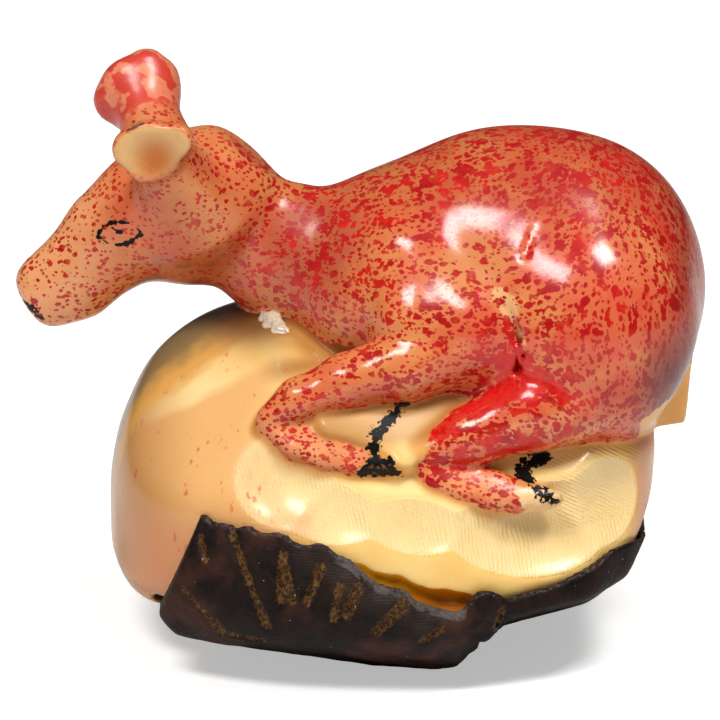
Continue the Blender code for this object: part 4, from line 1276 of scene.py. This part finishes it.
def red_dabs(lay, p, painted, coat):
    stretch = lay.mix(lay.ease(lay.parts(p)[0], 12.0, 26.0), ROUND_DABS, LONG_DABS)
    dragged = lay.vector("MULTIPLY", lay.vector("SUBTRACT", p, DRAG_START), stretch)
    dense = lay.fray(lay.mark("dense"), lay.swell(p, 3.6), 1.3)
    tone = lay.mix(lay.ease(lay.noise(p, 2.6, 2.0), 0.44, 0.70), DEEP_RED, BRIGHT_RED)
    thick = lay.math("MULTIPLY_ADD", lay.ease(lay.noise(p, 1.5, 2.0), 0.36, 0.52), 0.20, 0.78)
    for number, (shift, size, extra) in enumerate(DAB_LAYERS):
        amount = lay.math("ADD", dense, extra)
        if number == 0:
            amount = lay.fray(amount, lay.mark("head"), FEWER_ON_HEAD)
        place = lay.vector("ADD", dragged, shift)
        dabs = lay.group(brush_dabs, Point=place, Size=size, Amount=amount, Ragged=0.13)
        painted = lay.mix(lay.both(dabs["Mask"], coat, thick), painted, tone)
    limit = lay.math("MULTIPLY_ADD", dense, -0.26, 0.80)
    sponge = lay.ease(lay.math("SUBTRACT", lay.noise(dragged, 1.1, 2.0, 0.6), limit), 0.0, 0.02)
    sponge = lay.both(sponge, coat, lay.bare(lay.mark("head")))
    return lay.mix(lay.both(sponge, thick), painted, tone)


print("dabs:", [size for _, size, _ in DAB_LAYERS], "mm apart")

# %% [markdown]
# ## Last touches of the painter
# Red ran together below the crease, the far ear has blots instead of dabs, the tail has one spot, and
# the ears' dishes were left bare.  The lower rump and the rump's edge are darkened with painted shade,
# and a notch on the near ear's rim is painted as a dark shade.

# %% Floods, blots and spots
RUMP_LOW_SHADE, RUMP_EDGE_SHADE = shade(96, 40, 38), shade(196, 176, 176)
FLOOD_RED, BLOT_GROUND, BLOT_RED = shade(196, 4, 8), shade(220, 126, 96), shade(198, 40, 32)
SPOT_RED, NOTCH_SHADE_DARK = shade(170, 20, 22), shade(78, 50, 44)
DISH_PALE, DISH_BROWN = shade(208, 162, 104), shade(178, 98, 30)


def late_touches(lay, p, painted, coat, loose):
    x, y, z = lay.parts(p)
    # painted shade on the lower rump
    rump_low_shade = lay.both(lay.within((x, 22.5, 26.5), (z, 33.0, 27.0)), coat)
    painted = lay.mix(lay.both(rump_low_shade, 0.75), painted, RUMP_LOW_SHADE)
    # painted shade along the rump's edge
    painted = lay.tint(lay.both(lay.ease(x, 25.0, 28.5), coat, 0.7), painted, RUMP_EDGE_SHADE)
    flood = lay.ease(lay.fray(lay.mark("flood"), loose, -6.0), 0.35, -0.1)
    painted = lay.mix(lay.both(flood, coat, 0.88), painted, FLOOD_RED)
    far_ear = lay.both(lay.near(p, (-19.4, 8.6, 47.0), 4.0, 5.4), coat)
    painted = lay.mix(lay.both(far_ear, 0.75), painted, BLOT_GROUND)
    blots = lay.ease(lay.noise(p, 2.1, 2.0), 0.45, 0.51)
    painted = lay.mix(lay.both(far_ear, blots, 0.85), painted, BLOT_RED)
    spot = lay.both(lay.near(p, (28.9, -1.6, 23.4), 0.9, 1.5), lay.ease(loose, -0.15, 0.0))
    painted = lay.mix(lay.both(spot, 0.85), painted, SPOT_RED)
    deep = lay.near(lay.whole(x, lay.math("ABSOLUTE", y), z), (-17.2, 8.2, 45.6), 0.7, 3.0)
    dish = lay.within((lay.mark("hollow"), 0.0, 0.16), (z, 43.0, 45.0))
    painted = lay.mix(dish, painted, lay.mix(deep, DISH_PALE, DISH_BROWN))
    # painted shade of a notch on the near ear's rim
    scorch = lay.ease(lay.fray(lay.mark("scorch"), loose, 0.6), 0.1, -0.05)
    return lay.mix(lay.both(scorch, 0.85), painted, NOTCH_SHADE_DARK)


print("floods: light values of the red", [round(value, 2) for value in FLOOD_RED[:3]])

# %% [markdown]
# ## Black enamel
# Eye, nostril and hooves are one thick black.  On hooves and nostril it follows the strokes marked on
# the skin, with crumbled edges.  The eye is drawn here: two lids that meet in points, thicker low on
# the right and broken on the left and above, with a pupil and its tail inside.

# %% Enamel
PUPIL = (((0.12, 0.0, 0.10), (-0.12, 0.0, 0.16), 0.20), ((-0.15, 0.0, 0.2), (-0.62, 0.0, 0.52), 0.08))
LID_WIDTH = 0.095
LID_BREAKS = 1.1


def enamel_mask(lay, p, loose):
    x, y, z = lay.parts(p)
    grit = lay.swell(p, 0.34)
    ragged = lay.math("MULTIPLY_ADD", grit, 1.2, lay.math("MULTIPLY", loose, 1.7))
    black = lay.ease(lay.math("ADD", lay.mark("enamel"), ragged), 0.05, -0.05)
    across = lay.math("SUBTRACT", x, EYE[0])
    rise = lay.math("MULTIPLY_ADD", across, -EYE_SLANT, lay.math("SUBTRACT", z, EYE[1]))
    width = lay.math("MULTIPLY_ADD", lay.swell(p, 0.62, 1.0), LID_BREAKS, LID_WIDTH)
    right = lay.ease(across, -0.2, 0.9)
    width = lay.fray(width, lay.both(right, lay.ease(rise, 0.1, -0.3)), 0.11)
    width = lay.fray(width, lay.both(right, lay.ease(rise, -0.1, 0.3)), -0.07)
    line = lay.math("SUBTRACT", lay.math("ABSOLUTE", lay.mark("lids")), width)
    line = lay.fray(line, grit, 0.12)
    flat = lay.whole(across, 0.0, rise)
    pupil = lay.math("MINIMUM", lay.stroke(flat, *PUPIL[0]), lay.stroke(flat, *PUPIL[1]))
    pupil = lay.fray(pupil, grit, 0.25)
    eye = lay.ease(lay.math("MINIMUM", line, pupil), 0.035, -0.02)
    socket = lay.within((lay.math("ABSOLUTE", y), 3.0, 3.3), (lay.vector("LENGTH", flat), 2.35, 2.2))
    return lay.either(black, lay.both(eye, socket))


print("eye:", 2 * EYE_HALF_LENGTH, "by", 2 * EYE_HALF_HEIGHT, "mm")

# %% [markdown]
# ## Painted ivory
# Now the layers go on one after another, in the order in which the painter worked.  The black is
# worn brown in one spot of the front hoof, and the crumbs in the corner stay pale.

# %% Colour of the deer and nut
ENAMEL_BLACK, WORN_BROWN = shade(8, 8, 10), shade(112, 66, 30)
CRUMB_DARK, CRUMB_LIGHT = shade(150, 128, 104), shade(226, 208, 184)
DIRT = shade(70, 40, 30)


def ivory_colour(lay, p, loose):
    """The colour with all its layers, the tool marks' height, the painted part, the black, the crumbs."""
    up = lay.parts(lay.add("ShaderNodeNewGeometry").outputs["Normal"])[2]
    colour = bare_flesh(lay, p, loose)
    colour, tool_height = tool_marks(lay, p, colour)
    colour = finger_scuffs(lay, p, colour)
    coat = coat_mask(lay, p, loose, up)
    colour = wash(lay, p, colour, coat, loose, up)
    colour = red_dabs(lay, p, colour, coat)
    colour = late_touches(lay, p, colour, coat, loose)
    black = enamel_mask(lay, p, loose)
    worn = lay.both(lay.ease(lay.noise(p, 0.5, 2.0), 0.52, 0.62), lay.near(p, (1.8, -15.9, 20.1), 0.6, 1.2))
    colour = lay.mix(black, colour, lay.mix(worn, ENAMEL_BLACK, WORN_BROWN))
    crumbs = lay.ease(lay.mark("crumbs"), -0.12, 0.05)
    colour = lay.mix(crumbs, colour, lay.mix(lay.noise(p, 0.35, 2.0), CRUMB_DARK, CRUMB_LIGHT))
    dirt = lay.group(specks, Point=p, Spacing=2.4, Width=0.06)["Mask"]
    return lay.mix(lay.both(dirt, 0.6), colour, DIRT), tool_height, coat, black, crumbs


print("layers: flesh, tool marks, scuffs, wash, dabs, late touches, enamel, crumbs, dirt")

# %% [markdown]
# ### Lacquer
# Lacquer is a coat over everything.  Its surface is never quite even: it has slow swells, the brush's
# fine drag lines, a raised edge on the black, and on the cut faces a grit that glitters.  It is
# thinner in the corner between deer and nut, and duller on the ears and the satin shoulder.

# %% Lacquer over the ivory
LACQUER = 0.74
LACQUER_DULL = 0.16


def ivory_height(lay, p, loose, tool_height, coat, black, crumbs, glitter):
    drag = lay.group(tool_lines, Point=p, Across=(0.35, 0.2, 0.9), Pitch=0.22, Wander=0.30, Breaks=2.0)
    height = lay.math("MULTIPLY", tool_height, 0.6)
    for part, rise in ((lay.noise(p, 2.2, 3.0), 0.8), (lay.noise(p, 0.36, 2.0), 0.22),
                       (lay.both(drag["Height"], coat), 0.16), (black, 0.8)):
        height = lay.math("MULTIPLY_ADD", part, rise, height)
    grit = lay.both(lay.noise(p, 0.16, 1.0), lay.math("MULTIPLY_ADD", glitter, 0.62, 0.16))
    height = lay.math("ADD", height, grit)
    return lay.math("MULTIPLY_ADD", lay.both(crumbs, loose), 3.0, height)


def new_material(name, **settings):
    """A material's nodes and its Principled shader, with settings that are the same all over."""
    material = bpy.data.materials.new(name)
    material.use_nodes = True
    shader = material.node_tree.nodes["Principled BSDF"]
    for label, value in settings.items():
        shader.inputs[label].default_value = value
    return material, Finish(material.node_tree), shader.inputs


def paint_ivory():
    material, lay, shader = new_material(
        "painted_ivory_nut", **{
            "Coat IOR": 1.5, "Coat Roughness": 0.18, "IOR": 1.33, "Specular IOR Level": 0.2,
            "Subsurface Weight": 0.12, "Subsurface Radius": (1.0, 0.42, 0.16), "Subsurface Scale": 0.0006})
    p = lay.carver_mm()
    loose = lay.swell(p, 1.3, 3.0)
    colour, tool_height, coat, black, crumbs = ivory_colour(lay, p, loose)
    lay.feed(shader["Base Color"], colour)
    in_stroke, satin = lay.ease(lay.mark("gouged"), 0.02, 0.12), lay.mark("satin")
    dull = LACQUER_DULL
    for part, more in ((in_stroke, 0.08), (satin, 0.16), (lay.ease(lay.parts(p)[2], 42.5, 44.5), 0.12)):
        dull = lay.math("MULTIPLY_ADD", part, more, dull)
    lay.feed(shader["Coat Roughness"], dull)
    corner = lay.within((lay.mark("deer"), -1.4, -0.3), (lay.mark("deer"), 1.4, 0.3))
    lay.feed(shader["Coat Weight"], lay.math("MULTIPLY_ADD", lay.either(black, corner), -0.6, LACQUER))
    rough = lay.math("MULTIPLY_ADD", loose, 0.16, 0.5)
    lay.feed(shader["Roughness"], lay.math("MULTIPLY_ADD", crumbs, 0.4, rough))
    glitter = lay.either(in_stroke, satin)
    height = ivory_height(lay, p, loose, tool_height, coat, black, crumbs, glitter)
    lay.feed(shader["Normal"], lay.bump(height, 0.09))
    print("painted ivory:", len(material.node_tree.nodes), "nodes")
    return material


carving.data.materials.clear()
carving.data.materials.append(paint_ivory())

# %% [markdown]
# ## Woody husk
# Husk is a woody brown-black skin: fibres run along it, the cut rim is a paler grey band with a thin
# painted highlight along its very edge, and the gouges show golden-brown fibre.  The shell's own marks
# say where rim and gouges are, so the colours can follow them without a texture drawn for the purpose.

# %% Colour and grain of the husk
HUSK_BLACK, HUSK_BROWN, HUSK_CLOUD = shade(12, 6, 4), shade(34, 19, 12), shade(64, 34, 26)
PLANED_GREY, HATCH_GREY = shade(46, 34, 30), shade(84, 68, 60)
BEVEL_DARK, BEVEL_LIGHT, RIM_HIGHLIGHT_GREY = shade(60, 54, 54), shade(120, 114, 114), shade(104, 92, 84)
FIBRE_DARK, FIBRE_GOLD, FIBRE_LINE = shade(58, 36, 18), shade(118, 82, 44), shade(44, 26, 12)
MOTE = shade(190, 178, 160)


def finish_husk():
    material, lay, shader = new_material("woody_husk", **{"Specular IOR Level": 0.2, "IOR": 1.38})
    p = lay.carver_mm()
    x = lay.parts(p)[0]
    cloud, fine, grit = lay.noise(p, 5.0, 3.0), lay.noise(p, 1.6, 4.0, 0.6), lay.noise(p, 0.3, 3.0)
    fibres = lay.group(tool_lines, Point=p, Across=(0.95, 0.1, 0.25), Pitch=0.20, Wander=0.10, Breaks=1.2)
    hatch = lay.group(tool_lines, Point=p, Across=(0.06, 0.0, 1.0), Pitch=0.24, Wander=0.05, Breaks=2.5)
    below = lay.mark("below_rim")
    loose = lay.math("SUBTRACT", grit, 0.5)
    gouge = lay.ease(lay.fray(lay.mark("husk_gouge"), loose, 0.4), -0.16, 0.16)
    colour = lay.mix(lay.ease(fine, 0.35, 0.7), HUSK_BLACK, HUSK_BROWN)
    colour = lay.mix(lay.both(lay.ease(cloud, 0.52, 0.66), 0.7), colour, HUSK_CLOUD)
    planed = lay.within((x, -7.5, -4.0), (x, 8.6, 6.0), (below, 3.4, 1.6))
    colour = lay.mix(lay.both(planed, 0.4), colour, PLANED_GREY)
    colour = lay.mix(lay.both(planed, hatch["Height"], 0.3), colour, HATCH_GREY)
    bevel = lay.within((x, -2.6, -1.2), (x, 9.4, 8.8), (lay.fray(below, fine, 0.3), 0.80, 0.66),
                       (fine, 0.38, 0.56))
    colour = lay.mix(lay.both(bevel, 0.6), colour, lay.mix(grit, BEVEL_DARK, BEVEL_LIGHT))
    # painted highlight along the rim's very edge
    edge = lay.within((below, 0.22, 0.08), (grit, 0.45, 0.60))
    colour = lay.mix(lay.both(edge, 0.4), colour, RIM_HIGHLIGHT_GREY)
    golden = lay.mix(lay.ease(grit, 0.40, 0.62), FIBRE_DARK, FIBRE_GOLD)
    golden = lay.mix(lay.both(fibres["Height"], 0.6), golden, FIBRE_LINE)
    colour = lay.mix(lay.both(gouge, 0.9), colour, golden)
    mote = lay.group(specks, Point=p, Spacing=1.1, Width=0.10)["Mask"]
    colour = lay.mix(lay.both(mote, lay.ease(cloud, 0.40, 0.55), 0.7), colour, MOTE)
    lay.feed(shader["Base Color"], colour)
    lay.feed(shader["Roughness"], lay.math("MULTIPLY_ADD", fine, 0.3, 0.42))
    height = lay.math("MULTIPLY", lay.both(fibres["Height"], gouge), 0.8)
    for part, rise in ((fine, 1.6), (grit, 0.6), (mote, 0.6)):
        height = lay.math("MULTIPLY_ADD", part, rise, height)
    lay.feed(shader["Normal"], lay.bump(height, 0.14))
    print("woody husk:", len(material.node_tree.nodes), "nodes")
    return material


shell.data.materials.clear()
shell.data.materials.append(finish_husk())

# %% [markdown]
# ## Stage
# The carving stands on a plain pale sheet.  The sheet is lit from behind as well, as on a light table,
# which the eye sees as a paler shadow; so it glows a little, for the camera only.

# %% Floor
FLOOR_GLOW = 0.45
FLOOR_HALF = 3.0                 # metres
PAPER_DARK, PAPER_LIGHT = shade(244, 243, 241), shade(248, 247, 246)


def lay_floor():
    mesh = bpy.data.meshes.new("floor")
    corners = [(x * FLOOR_HALF, y * FLOOR_HALF, 0.0) for x, y in ((-1, -1), (1, -1), (1, 1), (-1, 1))]
    mesh.from_pydata(corners, [], [(0, 1, 2, 3)])
    floor = bpy.data.objects.new("floor", mesh)
    bpy.context.scene.collection.objects.link(floor)
    material, lay, shader = new_material(
        "pale_paper", **{"Roughness": 0.9, "Emission Color": (1.0, 1.0, 1.0, 1.0)})
    lay.feed(shader["Base Color"], lay.mix(lay.noise(lay.carver_mm(), 60.0), PAPER_DARK, PAPER_LIGHT))
    seen = lay.add("ShaderNodeLightPath").outputs["Is Camera Ray"]
    lay.feed(shader["Emission Strength"], lay.math("MULTIPLY", seen, FLOOR_GLOW))
    mesh.materials.append(material)
    return floor


lay_floor()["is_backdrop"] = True
print("floor:", 2 * FLOOR_HALF, "m across")

# %% [markdown]
# ## Light
# Two soft lamps, at the upper left and the upper right, make the highlights on the lacquer.  A dim
# room, darker below than above, fills the shadows.

# %% Lamps and room
LOOK_AT = Vector((-0.00016, 0.0005, 0.0249))
LAMP_DISTANCE = 0.62
ROOM_LOW, ROOM_HIGH = shade(58, 57, 54), shade(101, 100, 97)


def direction(turn, rise):
    """Unit vector from the piece: turn to the right of the viewer, rise above the floor, in degrees."""
    turn, rise = math.radians(turn), math.radians(rise)
    return Vector((math.sin(turn) * math.cos(rise), -math.cos(turn) * math.cos(rise), math.sin(rise)))


def put(name, data, turn, rise, distance):
    """Places a lamp or a camera so that it looks at the piece."""
    holder = bpy.data.objects.new(name, data)
    bpy.context.scene.collection.objects.link(holder)
    holder.location = LOOK_AT + direction(turn, rise) * distance
    holder.rotation_euler = (-direction(turn, rise)).to_track_quat("-Z", "Y").to_euler()
    return holder


for name, turn, rise, width, height, watts in (
        ("softbox_left", -30, 52, 0.25, 0.13, 2.7), ("softbox_right", 50, 62, 0.15, 0.15, 2.5)):
    lamp = bpy.data.lights.new(name, "AREA")
    lamp.shape = "RECTANGLE"
    lamp.size = width
    lamp.size_y = height
    lamp.energy = watts
    put(name, lamp, turn, rise, LAMP_DISTANCE)
    print(name, "at", [round(value, 2) for value in direction(turn, rise) * LAMP_DISTANCE])

world = bpy.data.worlds.new("studio")
world.use_nodes = True
room = Finish(world.node_tree)
height = room.parts(room.add("ShaderNodeTexCoord").outputs["Generated"])[2]
background = world.node_tree.nodes["Background"]
room.feed(background.inputs["Color"], room.mix(room.ease(height, 0.0, 0.7), ROOM_LOW, ROOM_HIGH))
background.inputs["Strength"].default_value = 1.0
bpy.context.scene.world = world
bpy.context.scene.view_settings.view_transform = "Standard"

# %% [markdown]
# ## Camera
# A long lens from some way off keeps the carving's proportions true.  It looks down a little, enough
# to show the bench under the legs.

# %% Camera
VIEW_DOWN = 17.0
DISTANCE = 0.6
FRAME_WIDTH = 0.0631579          # metres across the picture at the piece

camera = bpy.data.cameras.new("camera")
camera.sensor_width = 36.0
camera.lens = camera.sensor_width * DISTANCE / FRAME_WIDTH
camera.clip_start = 0.01
bpy.context.scene.camera = put("camera", camera, 0, VIEW_DOWN, DISTANCE)
print("lens:", round(camera.lens), "mm")

# %% [markdown]
# ## Size of the result
# Both boxes are printed: the packed pieces' and the finer pieces'. The finer pieces have to
# keep the size of the packed ones.

# %% Boxes
made_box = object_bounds()
boxes = {"cad": cad_box, "visual": made_box}
for name, box in boxes.items():
    print(name, "box:", [[round(v, 4) for v in corner] for corner in box])
